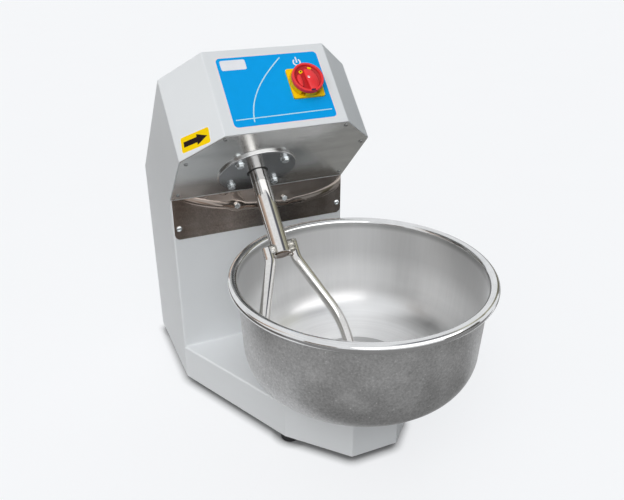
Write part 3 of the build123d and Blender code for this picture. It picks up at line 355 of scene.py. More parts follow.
# The face's dark greys are painted shade: it looks down at the dark under the head, while its edge keeps plain
# steel grey.
turned_flange = ringed_steel("turned_flange", fork_place.translation, fork_down, (0.25, 0.255, 0.26),
                             (0.34, 0.345, 0.35), (0.14, 0.26), 0.0011, 0.12, flange_edge)
motor_core = stacked_sheets("motor_core", fork_down)
print("guard bolts at", [[round(v, 4) for v in p] for p in bolt_places])

# %% [markdown]
# ## Plastic and rubber
# The main switch is moulded in red and yellow, feet and seal are black rubber, the belt has a woven cover.
# Moulded plastic keeps the fine texture of its mould, so the bump is tiny and the gloss is even.
# Rubber and cloth are the same recipe, darker and rougher. The yellow is darker in its hollows, a painted shade.

# %% Plastic and rubber finishes
def moulded(name, colour, rough, texture=1600.0, depth=0.08, drift=0.06, gloss=0.4, hollow=None):
    finish, tree, shader = new_finish(name)
    shader.inputs["Specular IOR Level"].default_value = gloss
    coords = own(tree)
    fine = grain(tree, coords, texture, 2.0)
    slow = grain(tree, coords, 45.0, 3.0)
    skin = ramp(tree, slow, (0.3, wash(colour, 1 - drift)), (0.7, wash(colour, 1 + drift)))
    if hollow:
        # Painted shade: the colour is darkened where other surfaces are near, in slots and under the handle.
        skin = blend(tree, between(tree, openness(tree, 0.006, 16), 0.0, 1.0, 0.2, 0.75), (*hollow, 1), skin)
    dress(tree, shader, skin, between(tree, fine, *rough), bump(tree, fine, depth, 0.0002))
    return finish


switch_yellow = moulded("switch_yellow", (1.0, 0.62, 0.001), (0.34, 0.46), gloss=0.12,
                        hollow=(0.42, 0.09, 0.002))
switch_red = moulded("switch_red", (0.84, 0.038, 0.044), (0.28, 0.40), gloss=0.25)
switch_black = moulded("switch_black", (0.02, 0.02, 0.021), (0.4, 0.55))
black_plastic = moulded("black_plastic", (0.025, 0.025, 0.026), (0.45, 0.6), 1200, 0.15)
foot_rubber = moulded("foot_rubber", (0.012, 0.012, 0.013), (0.6, 0.8), 900, 0.3, 0.25)
seal_rubber = moulded("seal_rubber", (0.010, 0.010, 0.010), (0.45, 0.6), 1100, 0.2, 0.2)
belt_cloth = moulded("belt_cloth", (0.018, 0.018, 0.018), (0.65, 0.85), 700, 0.5, 0.3)
print("mouldings:", [m.name for m in (switch_yellow, switch_red, switch_black, black_plastic)],
      [m.name for m in (foot_rubber, seal_rubber, belt_cloth)])

# %% [markdown]
# ## Handing out the finishes
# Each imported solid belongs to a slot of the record, such as body_paint or gear_steel, so finishes go by slot.
# The other way, naming all the nodes one by one, is longer and forgets a node sooner or later.
# Only the material slot of each object is set here. Its mesh stays as packed.

# %% Finishes by slot
finish_of_slot = {
    "body_paint": powder_white, "floor_plates": primer_grey, "drive_plates": primer_grey,
    "motor_paint": motor_grey, "spindle_casting": casting_grey, "pulley_casting": pulley_iron,
    "under_plate": rolled_sheet, "mirror_plate": mirror_guard, "fork_steel": fork_bar,
    "flange_steel": turned_flange, "bolt_steel": bright_bolt, "inner_bolts": zinc_bolt,
    "bearing_steel": ground_ring, "turned_steel": turned_bar, "gear_steel": oiled_gear,
    "stainless": turned_bar, "weld": turned_bar, "motor_core": motor_core,
    "switch_yellow": switch_yellow, "switch_red": switch_red, "switch_black": switch_black,
    "black_plastic": black_plastic, "rubber": foot_rubber, "seal": seal_rubber, "belt": belt_cloth,
}
for part in frame["record"]["subparts"]:
    node = frame["nodes"][part["node"]]
    node.data.materials.clear()
    node.data.materials.append(finish_of_slot[part["material_slot"]])

# %% [markdown]
# ## Helpers for new pieces
# Small round pieces such as bolts, screws and the bowl are stacks of rings, as if turned on a lathe.
# If a ring's radius depends on the angle, the same stack gives hexagons too, so one helper makes them all.

# %% Helper for rings
def value_at(value, angle):
    return value(angle) if callable(value) else value


def turned(rings, steps=48):
    """Points and faces of a stack of (radius, height) rings about Z; a radius of 0 closes the end."""
    points, faces, loops = [], [], []
    for radius, height in rings:
        count = 1 if radius == 0 else steps
        loops.append(range(len(points), len(points) + count))
        for k in range(count):
            angle = 2 * pi * k / steps
            r = value_at(radius, angle)
            points.append((r * cos(angle), r * sin(angle), value_at(height, angle)))
    for low, high in zip(loops, loops[1:]):
        for k in range(steps):
            after = k + 1
            corners = (low[k % len(low)], low[after % len(low)], high[after % len(high)], high[k % len(high)])
            faces.append(list(dict.fromkeys(corners)))
    return points, faces


print("helper for rings is ready")

# %% [markdown]
# Flat pieces such as labels are slabs: an outline, given a thickness and a softened upper edge.
# A block with a bevel on it would do the same for a plain rectangle, but a drawn outline can have any shape.
# A hole has one point for each point of the outline, so its walls are made in the same loop.

# %% Helpers for slabs
LEAST_GROW = 0.3


def inset(outline, by):
    """The outline moved inwards by the same amount all round."""
    moved = []
    for before, here, after in zip(outline[-1:] + outline[:-1], outline, outline[1:] + outline[:1]):
        a = (Vector(here) - Vector(before)).normalized()
        b = (Vector(after) - Vector(here)).normalized()
        normal = Vector((-a.y - b.y, a.x + b.x))
        grow = normal.length_squared / 2
        moved.append(tuple(Vector(here) + normal * (by / max(grow, LEAST_GROW))))
    return moved


def divided(outline, step=5.0):
    """The same outline with its long sides cut into short ones."""
    points = []
    for here, there in zip(outline, outline[1:] + outline[:1]):
        here, there = Vector(here), Vector(there)
        count = max(1, int((there - here).length / step))
        points += [tuple(here.lerp(there, k / count)) for k in range(count)]
    return points


def slab(outline, bottom, top, soften, hole=None):
    """Points and faces of a flat plate; the outline runs anticlockwise, and a hole is (x, y, radius)."""
    if hole:
        outline = divided(outline)
    count = len(outline)
    points = [(x, y, bottom) for x, y in outline] + [(x, y, top - soften) for x, y in outline]
    points += [(x, y, top) for x, y in inset(outline, soften)]
    faces, walls = [list(range(count))[::-1], list(range(2 * count, 3 * count))], [(0, 1), (1, 2)]
    if hole:
        middle = Vector(hole[:2])
        rim = [middle + (Vector(p) - middle).normalized() * hole[2] for p in outline]
        points += [(x, y, top) for x, y in rim] + [(x, y, bottom) for x, y in rim]
        faces, walls = [], [(0, 1), (1, 2), (2, 3), (3, 4), (4, 0)]
    for low, high in walls:
        for k in range(count):
            after = (k + 1) % count
            faces.append([low * count + k, low * count + after, high * count + after, high * count + k])
    return points, faces


print("helpers for slabs are ready")

# %% [markdown]
# A shape becomes a piece when it gets a finish, a place and a body of the machine to ride on.
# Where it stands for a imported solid, that solid steps back, so the two never lie in one another.

# %% Helpers for pieces
def joined(parts):
    """Several (points, faces) pairs, each moved by its matrix, as one."""
    points, faces = [], []
    for (some_points, some_faces), place in parts:
        start = len(points)
        points += [tuple(place @ Vector(p)) for p in some_points]
        faces += [[start + k for k in face] for face in some_faces]
    return points, faces


def in_metres(shape):
    """The same shape, from millimetres."""
    points, faces = shape
    return [tuple(Vector(p) * MM) for p in points], faces


def piece(name, shape, finish, body, place=Matrix(), stands_for=(), sharp=35.0):
    """A new object from points and faces in metres, riding on a body of the machine."""
    points, faces = shape
    mesh = bpy.data.meshes.new(name)
    mesh.from_pydata(points, [], faces)
    mesh.materials.append(finish)
    mesh.polygons.foreach_set("use_smooth", [True] * len(mesh.polygons))
    mesh.set_sharp_from_angle(angle=radians(sharp))
    made = bpy.data.objects.new(name, mesh)
    scene.collection.objects.link(made)
    made.matrix_world = place
    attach(made, body)
    if stands_for:
        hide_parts(*stands_for)
    print(name, len(mesh.polygons), "faces on", body)
    return made


print("helpers for pieces are ready")

# %% [markdown]
# ## Upturned edge of the base
# Behind the bowl the base's top sheet is bent up a few millimetres, so that it lies against the column.
# The solids meet there in a plain corner, and a bevel would round it without giving it the thin lip.
# So the bend is a small section, a quarter circle with a short lip, drawn out along X.

# %% Upturned edge
BEND, LIP, THICK, END_GAP = 3.2, 1.0, 0.5, 5.5
base_low, base_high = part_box("base_shell")
bend_arc = [(-BEND + (BEND - THICK) * cos(a), BEND - (BEND - THICK) * sin(a))
            for a in (pi / 2 * k / 8 for k in range(9))]
section = [(0.2, -0.3), (0.2, BEND + LIP), (-0.2, BEND + LIP + 0.3), (-THICK, BEND + LIP)] + bend_arc
section += [(-BEND - 0.8, 0.2), (-BEND - 0.8, -0.3)]
upturn_place = plane((0, base_high.y, base_high.z), (0, 1, 0), (1, 0, 0))
upturn = slab(section, base_low.x / MM + END_GAP, base_high.x / MM - END_GAP, 0.1)
piece("base_upturn", in_metres(upturn), powder_white, "machine", upturn_place, (), 40.0)

# %% [markdown]
# ## Spun bowl
# The bowl is one sheet spun over a former: a flat bottom with a shallow step, a round corner, a wall with a
# little draft and a rolled rim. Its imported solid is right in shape, but it has one finish, and the real bowl
# has three: a dull pickled outside, a brushed inside and a bright rim.
# Turning the same profile again lets each stretch of it carry its own finish, so the bowl is made anew here.

# %% Bowl profile
SHEET, ROLL = 2.0, 9.4
RIM_RADIUS, RIM_LEVEL = 240.4, 376.0
WALL_TOP, WALL_FOOT = 233.0, 222.31
FLOOR, STEP, STEP_RADIUS, CORNER = 165.0, 1.5, 104.0, 79.0
draft = atan2(WALL_TOP - WALL_FOOT, RIM_LEVEL - FLOOR)


def corner_arc(radius, steps):
    """Round corner of the bowl, from the floor to the wall, about the corner's centre."""
    side = cos(draft)
    centre_x = WALL_FOOT + CORNER * sin(draft) / side - CORNER / side
    turn = pi / 2 - draft
    return [(centre_x + radius * sin(turn * k / steps), FLOOR + CORNER - radius * cos(turn * k / steps))
            for k in range(steps + 1)]


def line_to(first, last, steps):
    """Points from one to the other, without the first."""
    return [tuple(Vector(first).lerp(Vector(last), (k + 1) / steps)) for k in range(steps)]


under_corner = corner_arc(CORNER, 18)
inner_corner = corner_arc(CORNER - SHEET, 18)[::-1]
roll_from, roll_to = radians(-144), radians(176)
roll = [(RIM_RADIUS + ROLL * cos(roll_from + (roll_to - roll_from) * k / 26),
         RIM_LEVEL + ROLL * sin(roll_from + (roll_to - roll_from) * k / 26)) for k in range(27)]
lip = STEP_RADIUS - SHEET
outside = [(0, FLOOR + STEP), (lip - 0.5, FLOOR + STEP), (lip, FLOOR + STEP - 0.5), (lip, FLOOR)]
outside += line_to((lip, FLOOR), under_corner[0], 3) + under_corner[1:]
outside += line_to(under_corner[-1], roll[0], 12)
top = FLOOR + SHEET + STEP
inside = line_to(roll[-1], inner_corner[0], 14) + inner_corner[1:]
inside += line_to(inner_corner[-1], (STEP_RADIUS + 1.2, FLOOR + SHEET), 4)
inside += [(STEP_RADIUS + 0.35, FLOOR + SHEET + 0.3), (STEP_RADIUS - 0.35, top - 0.3),
           (STEP_RADIUS - 1.2, top)]
inside += line_to((STEP_RADIUS - 1.2, top), (0, top), 6)
print("bowl profile:", len(outside), "points outside,", len(roll), "round the rim,", len(inside), "inside")

# %% [markdown]
# Outside, pickling leaves a grey, cloudy skin with pale specks; the darkening towards the bowl's foot is painted
# shade.
# The rim was burnished while the bowl turned, so its marks run round it.
# Such marks follow the bowl's own axis, so their noise is laid out by angle, radius and height.

# %% Outside and rim of the bowl
DARK_BELOW = 0.27


def bowl_coordinates(tree):
    """Angle about the bowl's axis, distance from it, and height."""
    split = add(tree, "SeparateXYZ", {0: own(tree)}).outputs
    angle = calc(tree, "ARCTAN2", split["Y"], split["X"])
    radius = calc(tree, "SQRT", weighed(tree, split["X"], split["X"], split["Y"], split["Y"]))
    return angle, radius, split["Z"]


def spread(tree, *pairs):
    """Coordinates for a noise, each value drawn out by its own factor."""
    values = [calc(tree, "MULTIPLY", value, factor) for value, factor in pairs]
    return add(tree, "CombineXYZ", dict(enumerate(values))).outputs[0]


def bowl_outside_finish():
    finish, tree, shader = new_finish("bowl_pickled")
    coords = own(tree)
    clouds = grain(tree, coords, 16.0, 5.0, 0.6)
    fine = grain(tree, coords, 240.0, 4.0, 0.7)
    specks = between(tree, grain(tree, coords, 230.0, 2.0, 0.5), 0.0, 1.0, 0.66, 0.78)
    tone = calc(tree, "ADD", weighed(tree, clouds, 0.35, fine, 0.65), calc(tree, "MULTIPLY", specks, 0.35))
    # Painted shade: the skin is darker from the foot up to this level.
    low = between(tree, along_axis(tree, coords, "Z"), 0.0, 1.0, FLOOR * MM, DARK_BELOW)
    tone = calc(tree, "SUBTRACT", tone, calc(tree, "MULTIPLY", calc(tree, "SUBTRACT", 1.0, low), 0.16))
    dress(tree, shader, ramp(tree, tone, (0.24, 0.30), (0.40, 0.46), (0.58, 0.64), (0.84, 0.88)),
          between(tree, clouds, 0.40, 0.52), bump(tree, fine, 0.25, 0.0004), 1.0)
    return finish


def bowl_rim_finish():
    finish, tree, shader = new_finish("bowl_burnished")
    angle, radius, height = bowl_coordinates(tree)
    marks = grain(tree, spread(tree, (angle, 3.0), (radius, 900.0), (height, 900.0)), 1.0, 3.0)
    clouds = grain(tree, own(tree), 26.0, 3.0)
    tone = weighed(tree, marks, 0.5, clouds, 0.5)
    dress(tree, shader, ramp(tree, tone, (0.35, 0.68), (0.65, 0.80)), between(tree, tone, 0.05, 0.13),
          bump(tree, marks, 0.012, 0.0002), 1.0)
    return finish


bowl_pickled, bowl_burnished = bowl_outside_finish(), bowl_rim_finish()
print("bowl finishes:", bowl_pickled.name, bowl_burnished.name)

# %% [markdown]
# Inside, the brush went up and down the wall and round the floor: upright smears on one, rings on the other.
# A brushed face also spreads its highlight across the brush marks, which the shader can do by itself.
# A band of greys from the floor to the rim is painted light and shade: the floor brightest, the upper wall darker
# and a painted shadow just under the rim.

# %% Inside of the bowl
RINGS_TO_SMEARS = (0.175, 0.235)
INSIDE_LEVELS = (0.168, 0.378)
DISC_EDGE = 0.6


def bowl_inside_finish():
    finish, tree, shader = new_finish("bowl_brushed")
    angle, radius, height = bowl_coordinates(tree)
    smears = grain(tree, spread(tree, (angle, 5.0), (height, 1.0)), 6.0, 5.0, 0.65)
    hairs = grain(tree, spread(tree, (angle, 230.0), (height, 6.0)), 1.0, 2.0)
    rings = ring_marks(tree, radius, 160.0, 4.0)
    wall = between(tree, height, 0.0, 1.0, *RINGS_TO_SMEARS)
    mark = add(tree, "Mix", {0: wall, 2: rings, 3: smears}).outputs[0]
    fine = add(tree, "Mix", {0: wall, 2: rings, 3: hairs}).outputs[0]
    tone = weighed(tree, mark, 0.8, fine, 0.2)
    settings = {"Anisotropic": 0.7, "Anisotropic Rotation": 0.25,
                "Sheen Weight": 0.45, "Sheen Roughness": 0.45}
    for name, setting in settings.items():
        shader.inputs[name].default_value = setting
    fill(tree, shader.inputs["Tangent"], add(tree, "Tangent", direction_type="RADIAL", axis="Z").outputs[0])
    shine = ramp(tree, tone, (0.3, 0.90), (0.7, 0.97))
    up = between(tree, height, 0.0, 1.0, *INSIDE_LEVELS)
    # Painted light and shade by level: a bright floor, a darker upper wall and a painted shadow just under the
    # rim.
    zone = ramp(tree, up, (0.0, 1.0), (0.10, 0.82), (0.25, 0.80), (0.36, 0.90), (0.50, 0.87), (0.68, 0.70),
                (0.93, 0.67), (0.97, 0.42))
    off_disc = between(tree, radius, 0.0, 1.0, (STEP_RADIUS - DISC_EDGE) * MM, (STEP_RADIUS + DISC_EDGE) * MM)
    middle = blend(tree, off_disc, (0.54, 0.54, 0.54, 1), zone)
    satin = ramp(tree, up, (0.0, 0.32), (0.12, 0.30), (0.34, 0.40))
    dress(tree, shader, blend(tree, 1.0, shine, middle, "MULTIPLY"),
          calc(tree, "ADD", satin, between(tree, tone, -0.03, 0.05)), bump(tree, fine, 0.0015, 0.0003), 1.0)
    return finish


bowl_brushed = bowl_inside_finish()
print("bowl finish:", bowl_brushed.name)

# %% [markdown]
# The bowl could be three pieces, one for each finish, but it is one sheet and should stay one mesh.
# So its profile is turned once, and each face gets its finish from the ring that it lies in.

# %% Bowl
BOWL_STEPS = 320
bowl_profile = [(r * MM, z * MM) for r, z in outside + roll[1:] + inside]
bowl_shape = turned(bowl_profile, BOWL_STEPS)
bowl = piece("bowl_spun", bowl_shape, bowl_pickled, "bowl", bowl_place, ["bowl"])
for finish in (bowl_burnished, bowl_brushed):
    bowl.data.materials.append(finish)
rim_start, rim_end = len(outside) - 1, len(outside) + len(roll) - 2
for face in bowl.data.polygons:
    ring = face.index // BOWL_STEPS
    face.material_index = 0 if ring < rim_start else 1 if ring < rim_end else 2
print("bowl is", round(2 * max(r for r, z in bowl_profile) / MM, 1), "mm over its rim")

# %% [markdown]
# ## Bolts and screws
# Four hexagon bolts hold the flange and two hold the guard. A bought bolt has a chamfered head: a cone cuts
# the hexagon's corners, which draws a curved edge on each flat and catches the light.
# The small screws have round heads with a hexagon socket.
# Both are stacks of rings, with the cone cut worked out per angle.

# %% Shapes of bolts and screws
def hexagon(across_flats):
    """Radius of a hexagon at an angle."""
    return lambda angle: across_flats / 2 / cos((angle + pi / 6) % (pi / 3) - pi / 6)


def scaled(value):
    """A number or a function in millimetres, turned into metres."""
    return (lambda angle: value(angle) * MM) if callable(value) else value * MM


def fastener(rings):
    """Stack of rings, from millimetres."""
    return turned([(scaled(radius), scaled(height)) for radius, height in rings])


def hexagon_bolt(shank, head, height, length):
    """Bolt along Z with the underside of its head at 0; the head is upward."""
    flats = hexagon(head * sqrt(3))
    crown = head * sqrt(3) / 2 * 0.96

    def cone(angle):
        return height - (flats(angle) - crown) * 0.55

    rings = [(0, -length), (shank, -length), (shank, 0), (flats, 0), (flats, cone), (crown, height),
             (crown * 0.93, height), (crown * 0.90, height - 0.25), (0, height - 0.25)]
    return fastener(rings)


def socket_screw(shank, head, height, length):
    """Round-headed screw with a hexagon socket, the underside of its head at 0."""
    dome = [(head * cos(a), height * 0.25 + height * 0.75 * sin(a)) for a in (0, 0.35, 0.7, 1.0)]
    socket = hexagon(head * 0.98)
    rings = [(0, -length), (shank, -length), (shank, 0), (head * 0.96, 0)] + dome
    return fastener(rings + [(socket, height * 0.93), (socket, height * 0.3), (0, height * 0.22)])


print("shapes of bolts and screws are ready")

# %% [markdown]
# Where the bolts sit could be typed in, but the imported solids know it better.
# A node may hold several bolts in one mesh, so its points are first sorted into separate solids.
# Nobody lines up bolt heads when tightening them, so each head is turned by an angle from a seeded draw.

# %% Bolts and screws
def node_places(node, outward, head_out):
    """For each separate solid of a node, the place on its axis where the underside of its head lies."""
    mesh = frame["nodes"][node].data
    parent = list(range(len(mesh.vertices)))
    same = {}
    for v in mesh.vertices:
        same.setdefault(tuple(round(c, 6) for c in v.co), []).append(v.index)

    def root(k):
        while parent[k] != k:
            parent[k] = parent[parent[k]]
            k = parent[k]
        return k

    for edge in mesh.edges:
        parent[root(edge.vertices[0])] = root(edge.vertices[1])
    for group in same.values():
        for k in group[1:]:
            parent[root(k)] = root(group[0])
    solids = {}
    for v in mesh.vertices:
        solids.setdefault(root(v.index), []).append(v.co)
    places = []
    for points in solids.values():
        levels = [p.dot(outward) for p in points]
        low = Vector(min(p[k] for p in points) for k in range(3))
        high = Vector(max(p[k] for p in points) for k in range(3))
        flat = (low + high) / 2
        places.append(flat + outward * (max(levels) - head_out - flat.dot(outward)))
    return sorted(places, key=lambda p: (round(p.x, 4), round(p.z, 4)))


def fasteners(name, node, make, sizes, outward, finish=bright_bolt):
    """One piece for all the fasteners of a node, each turned to its own angle."""
    shape, head_height = make(*sizes), sizes[2]
    angles = random.Random(len(name))
    parts = []
    for place in node_places(node, outward, head_height * MM):
        spin = Matrix.Rotation(angles.uniform(0, pi / 3), 4, "Z")
        parts.append((shape, plane(place, RIGHT, outward) @ spin))
    piece(name, joined(parts), finish, "machine", Matrix(), [node], 25.0)


FRONT, REAR = Vector((0, -1, 0)), Vector((0, 1, 0))
SMALL_SCREW = (2, 4.2, 2.4, 3)
fasteners("flange_hex_bolts", "flange_bolts", hexagon_bolt, (5, 8, 6.5, 30), fork_down)
fasteners("guard_hex_bolts", "guard_bolts", hexagon_bolt, (4, 6.4, 5.2, 9), FRONT)
fasteners("guard_socket_screws", "guard_screws", socket_screw, (3, 6.3, 3.6, 5), FRONT)
fasteners("plate_socket_screws", "under_plate_screws", socket_screw, SMALL_SCREW, fork_down, dull_screw)
fasteners("cover_socket_screws", "rear_cover_screws", socket_screw, SMALL_SCREW, REAR)

# %% [markdown]
# ## Weld beads on the fork
# The two rods are welded to the shaft's end.
# A weld is laid in short dabs, so its bead swells and narrows and is never straight.
# A tube along the seam would look like wire, so the bead is a stack of rings whose radius follows the dabs
# and a fixed noise.

# %% Weld beads
def weld_finish(name, *tones):
    finish, tree, shader = new_finish(name)
    coords = own(tree)
    lumps = grain(tree, coords, 420.0, 3.0)
    heat = grain(tree, coords, 70.0, 3.0)
    dress(tree, shader, ramp(tree, heat, *zip((0.32, 0.5, 0.68), tones)), between(tree, lumps, 0.16, 0.34),
          bump(tree, lumps, 0.16, 0.0006), 1.0)
    return finish


FORK_TURN = radians(-10.0)
fork_turned = fork_place @ Matrix.Rotation(FORK_TURN, 4, "Z")
weld_steel = weld_finish("weld_bead", (0.34, 0.325, 0.285), (0.45, 0.435, 0.40), (0.56, 0.55, 0.53))
weld_scale = weld_finish("weld_scale", (0.10, 0.065, 0.045), (0.19, 0.14, 0.105), (0.33, 0.28, 0.24))
RINGS_PER_MM, DAB_SWELL, DAB_SINK, BEAD_LUMPS = 2.4, 0.10, 0.06, 0.05


def bead(start, end, radius, dab):
    """Lumpy rod from one point to another, in millimetres of the fork's own axes, round at its ends."""
    start, end = Vector(start), Vector(end)
    length = (end - start).length
    count = max(8, int(length * RINGS_PER_MM))
    rings = [(0, 0)]
    for k in range(1, count):
        along = length * k / count
        close = sqrt(max(0.02, 1 - (2 * k / count - 1) ** 6))
        swell = 1 + DAB_SWELL * abs(sin(pi * along / dab)) - DAB_SINK
        here = start.lerp(end, k / count)

        def ring(angle, size=swell * close, h=here):
            spot = Vector((h.x * 0.3 + cos(angle), h.y * 0.3 + sin(angle), h.z * 0.35))
            return MM * radius * size * (1 + BEAD_LUMPS * noise.noise(spot))

        rings.append((ring, along * MM))
    rings.append((0, length * MM))
    side = Vector((0, 1, 0))
    return turned(rings, 32), plane(start * MM, (end - start).cross(side), end - start)


ROD_TOPS = {-1: 168.0, 1: 162.0}
SHAFT_END = 186.0
beads = []
for way, rod_top in ROD_TOPS.items():
    for face in (-1, 1):
        seam_from, seam_to = (way * 19.8, face * 8.6, rod_top - 1), (way * 19.4, face * 8.8, SHAFT_END - 2)
        web_from, web_to = (way * 20.6, face * 5.0, rod_top - 3), (way * 21.4, face * 4.6, SHAFT_END - 1)
        beads += [bead(seam_from, seam_to, 4.6, 2.6), bead(web_from, web_to, 9.2, 14.0)]
    beads.append(bead((way * 12, 0, SHAFT_END - 1), (way * 25, 0, SHAFT_END + 1), 4.4, 2.4))
beads.append(bead((28.0, 0, 157.0), (28.3, 0, 166), 10.8, 4.0))
beads.append(bead((18.5, -3, 158.5), (21, 4, 163), 4.5, 2.6))
piece("fork_weld_beads", joined(beads), weld_steel, "fork", fork_turned, ["fork_welds"], 60.0)

# %% [markdown]
# The heat of the weld left a dark, scaly crust on the shaft's end.
# A darker patch in the shaft's own finish would do, but the crust stands up a little and has an uneven edge,
# so it is a low stack of rings with a wandering radius.

# %% Scale on the shaft's end
WANDER = 0.7


def lumpy(radius, level):
    """A ring whose radius wanders by a few tenths of a millimetre."""
    def ring(angle):
        return MM * (radius + WANDER * noise.noise(Vector((3 * cos(angle), 3 * sin(angle), level))))

    return ring, level * MM


burn_profile = ((15.0, -1.0), (17.2, -0.9), (17.9, 0.0), (17.3, 0.9), (15.5, 1.1), (11.0, 0.6))
burn_rings = [lumpy(r, SHAFT_END + z) for r, z in burn_profile]
burn_rings.append((0, (SHAFT_END + 0.5) * MM))
piece("shaft_end_scale", turned(burn_rings, 64), weld_scale, "fork", fork_turned, (), 50.0)

# %% [markdown]
# ## Printed label on the panel
# The panel carries a blue film label with a pale edge, a bare white plate, a drawn curve, a line and a power
# sign over the switch. Film has a thickness you can feel, so each colour is a thin slab on top of the last.
# Painting all this in one material would work from far away, but slabs stay sharp at any distance.

# %% Print finishes
def film(name, colour):
    """Printed film, smoother than the mouldings."""
    return moulded(name, colour, (0.30, 0.42), 2600.0, 0.05, 0.025, 0.1)


film_blue = film("film_blue", (0.0, 0.375, 0.875))
film_edge = film("film_edge", (0.90, 0.80, 0.80))
film_white = film("film_white", (0.86, 0.87, 0.90))
film_pale = film("film_pale", (0.55, 0.83, 0.90))
film_yellow = film("film_yellow", (0.98, 0.66, 0.0))
film_black = film("film_black", (0.016, 0.008, 0.010))
film_plum = film("film_plum", (0.055, 0.028, 0.060))
print("films:", [m.name for m in (film_blue, film_edge, film_white, film_pale)],
      [m.name for m in (film_yellow, film_black, film_plum)])

# %% [markdown]
# The prints are flat outlines: a rectangle with round corners, a band along a path and a smooth curve.
# A drawing program could give the outlines, but short functions keep each size in plain sight.

# %% Outlines for flat pieces
def rounded(width, height, radius, centre=(0, 0), steps=8):
    """Rectangle with round corners, anticlockwise."""
    points = []
    for quarter, (sx, sy) in enumerate(((1, 1), (-1, 1), (-1, -1), (1, -1))):
        cx, cy = centre[0] + sx * (width / 2 - radius), centre[1] + sy * (height / 2 - radius)
        for k in range(steps + 1):
            angle = (quarter + k / steps) * pi / 2
            points.append((cx + radius * cos(angle), cy + radius * sin(angle)))
    return points


def ribbon(path, width):
    """Outline of a band of this width along a path."""
    left, right = [], []
    for k, here in enumerate(path):
        before, after = path[max(0, k - 1)], path[min(len(path) - 1, k + 1)]
        along = (Vector(after) - Vector(before)).normalized()
        side = Vector((-along.y, along.x)) * width / 2
        left.append(tuple(Vector(here) + side))
        right.append(tuple(Vector(here) - side))
    return right + left[::-1]


def curve(a, b, c, d, steps=36):
    """Points of a cubic curve through a and d, pulled towards b and c."""
    points = []
    for k in range(steps + 1):
        t = k / steps
        w = ((1 - t) ** 3, 3 * t * (1 - t) ** 2, 3 * t * t * (1 - t), t ** 3)
        points.append(tuple(sum(w[i] * p[j] for i, p in enumerate((a, b, c, d))) for j in range(2)))
    return points


def printed(name, outline, bottom, top, finish, place, soften=0.04, body="machine", hole=None):
    """Thin slab from an outline in millimetres of a plane."""
    shape = in_metres(slab(outline, bottom, top, soften, hole))
    piece(name, shape, finish, body, place, (), 40.0)


print("helpers for prints are ready")

# %% [markdown]
# The label's two lowest films have a hole where the switch's spindle passes through the panel.
# Everything is measured from the middle of the panel's lower edge, to the right and up, in millimetres.

# %% Label
LABEL_MIDDLE = (1.0, 87.0)
SPINDLE_CLEAR = 8.0
spindle_hole = (PANEL_TO_SWITCH.x / MM, PANEL_TO_SWITCH.y / MM, SPINDLE_CLEAR)
label_edge = rounded(206.8, 150.6, 9.8, LABEL_MIDDLE)
label_field = rounded(201.6, 144.8, 7.8, LABEL_MIDDLE)
printed("label_edge", label_edge, -0.3, 0.16, film_edge, panel_place, hole=spindle_hole)
printed("label_field", label_field, 0.1, 0.30, film_blue, panel_place, hole=spindle_hole)
printed("label_plain_plate", rounded(48.5, 21.5, 3.5, (-69, 143.4)), 0.25, 0.42, film_white, panel_place)
label_curve = curve((25, 152), (-13, 119), (-56, 78), (-60.5, 22))
printed("label_curve", ribbon(label_curve, 2.2), 0.25, 0.38, film_pale, panel_place)
printed("label_line", ribbon([(-94, 29.5), (96, 31)], 2.0), 0.25, 0.40, film_pale, panel_place)
SIGN_RADIUS, SIGN_OPEN, SIGN_STEPS = 6.9, 36, 28
sign_middle = Vector((56.4, 138.4))
sign_angles = [radians(SIGN_OPEN + (360 - 2 * SIGN_OPEN) * k / SIGN_STEPS) for k in range(SIGN_STEPS + 1)]
sign_arc = [tuple(sign_middle + SIGN_RADIUS * Vector((sin(a), cos(a)))) for a in sign_angles]
printed("power_ring", ribbon(sign_arc[::-1], 2.8), 0.25, 0.40, film_white, panel_place)
sign_bar = rounded(2.8, 13, 1.0, tuple(sign_middle + Vector((0, 5.4))))
printed("power_bar", sign_bar, 0.25, 0.42, film_white, panel_place)

# %% [markdown]
# ## Arrow sticker on the left chamfer
# A yellow sticker with a black arrow shows which way the fork turns.
# It was put on by hand, so it sits a little askew.
# The chamfer's plane follows from two directions: along its lower edge and along the panel's slope.

# %% Arrow sticker
edge_start = Vector((-265.15, 23.36, 570.79)) * MM
SLOPE_UP = Vector((0, -1, 1)).normalized()
EDGE_RIGHT, EDGE_UP = 73.75, 78.0
edge_along = (RIGHT * EDGE_RIGHT + SLOPE_UP * EDGE_UP).normalized()
panel_up = panel_place.to_3x3() @ Vector((0, 1, 0))
chamfer_out = edge_along.cross(panel_up).normalized()
STICKER_ALONG, STICKER_UP, STICKER_TILT = 46, 24, radians(-6.6)
sticker_middle = edge_start + edge_along * STICKER_ALONG * MM + panel_up * STICKER_UP * MM
sticker_place = plane(sticker_middle, edge_along, chamfer_out) @ Matrix.Rotation(STICKER_TILT, 4, "Z")
printed("sticker_edge", rounded(67, 33, 5), -0.3, 0.14, film_white, sticker_place)
printed("sticker_field", rounded(64, 30, 4), 0.1, 0.24, film_yellow, sticker_place)
arrow = [(-26, -5.2), (4, -5.2), (4, -10.5), (27, 0), (4, 10.5), (4, 5.2), (-26, 5.2)]
printed("sticker_arrow", arrow, 0.2, 0.34, film_black, sticker_place)

# %% [markdown]
# ## Handle of the main switch
# The red handle is one moulding: a round rim, a sunk floor, a broad grip on one side and a thin rib opposite.
# Here a turned ring makes the rim and the floor, and two softened slabs stand on the floor as grip and rib.
# The floor lies in the shade of the rim, so the red inside the rim gets deeper towards it.

# %% Switch handle
HANDLE_TOP, RECESS, RIB_TOP = 22.5, 17.0, 20.6
SHADE_EDGE = (26.4 * MM, 26.7 * MM)
SUNK, SOFT_EDGE = 0.5, 0.9


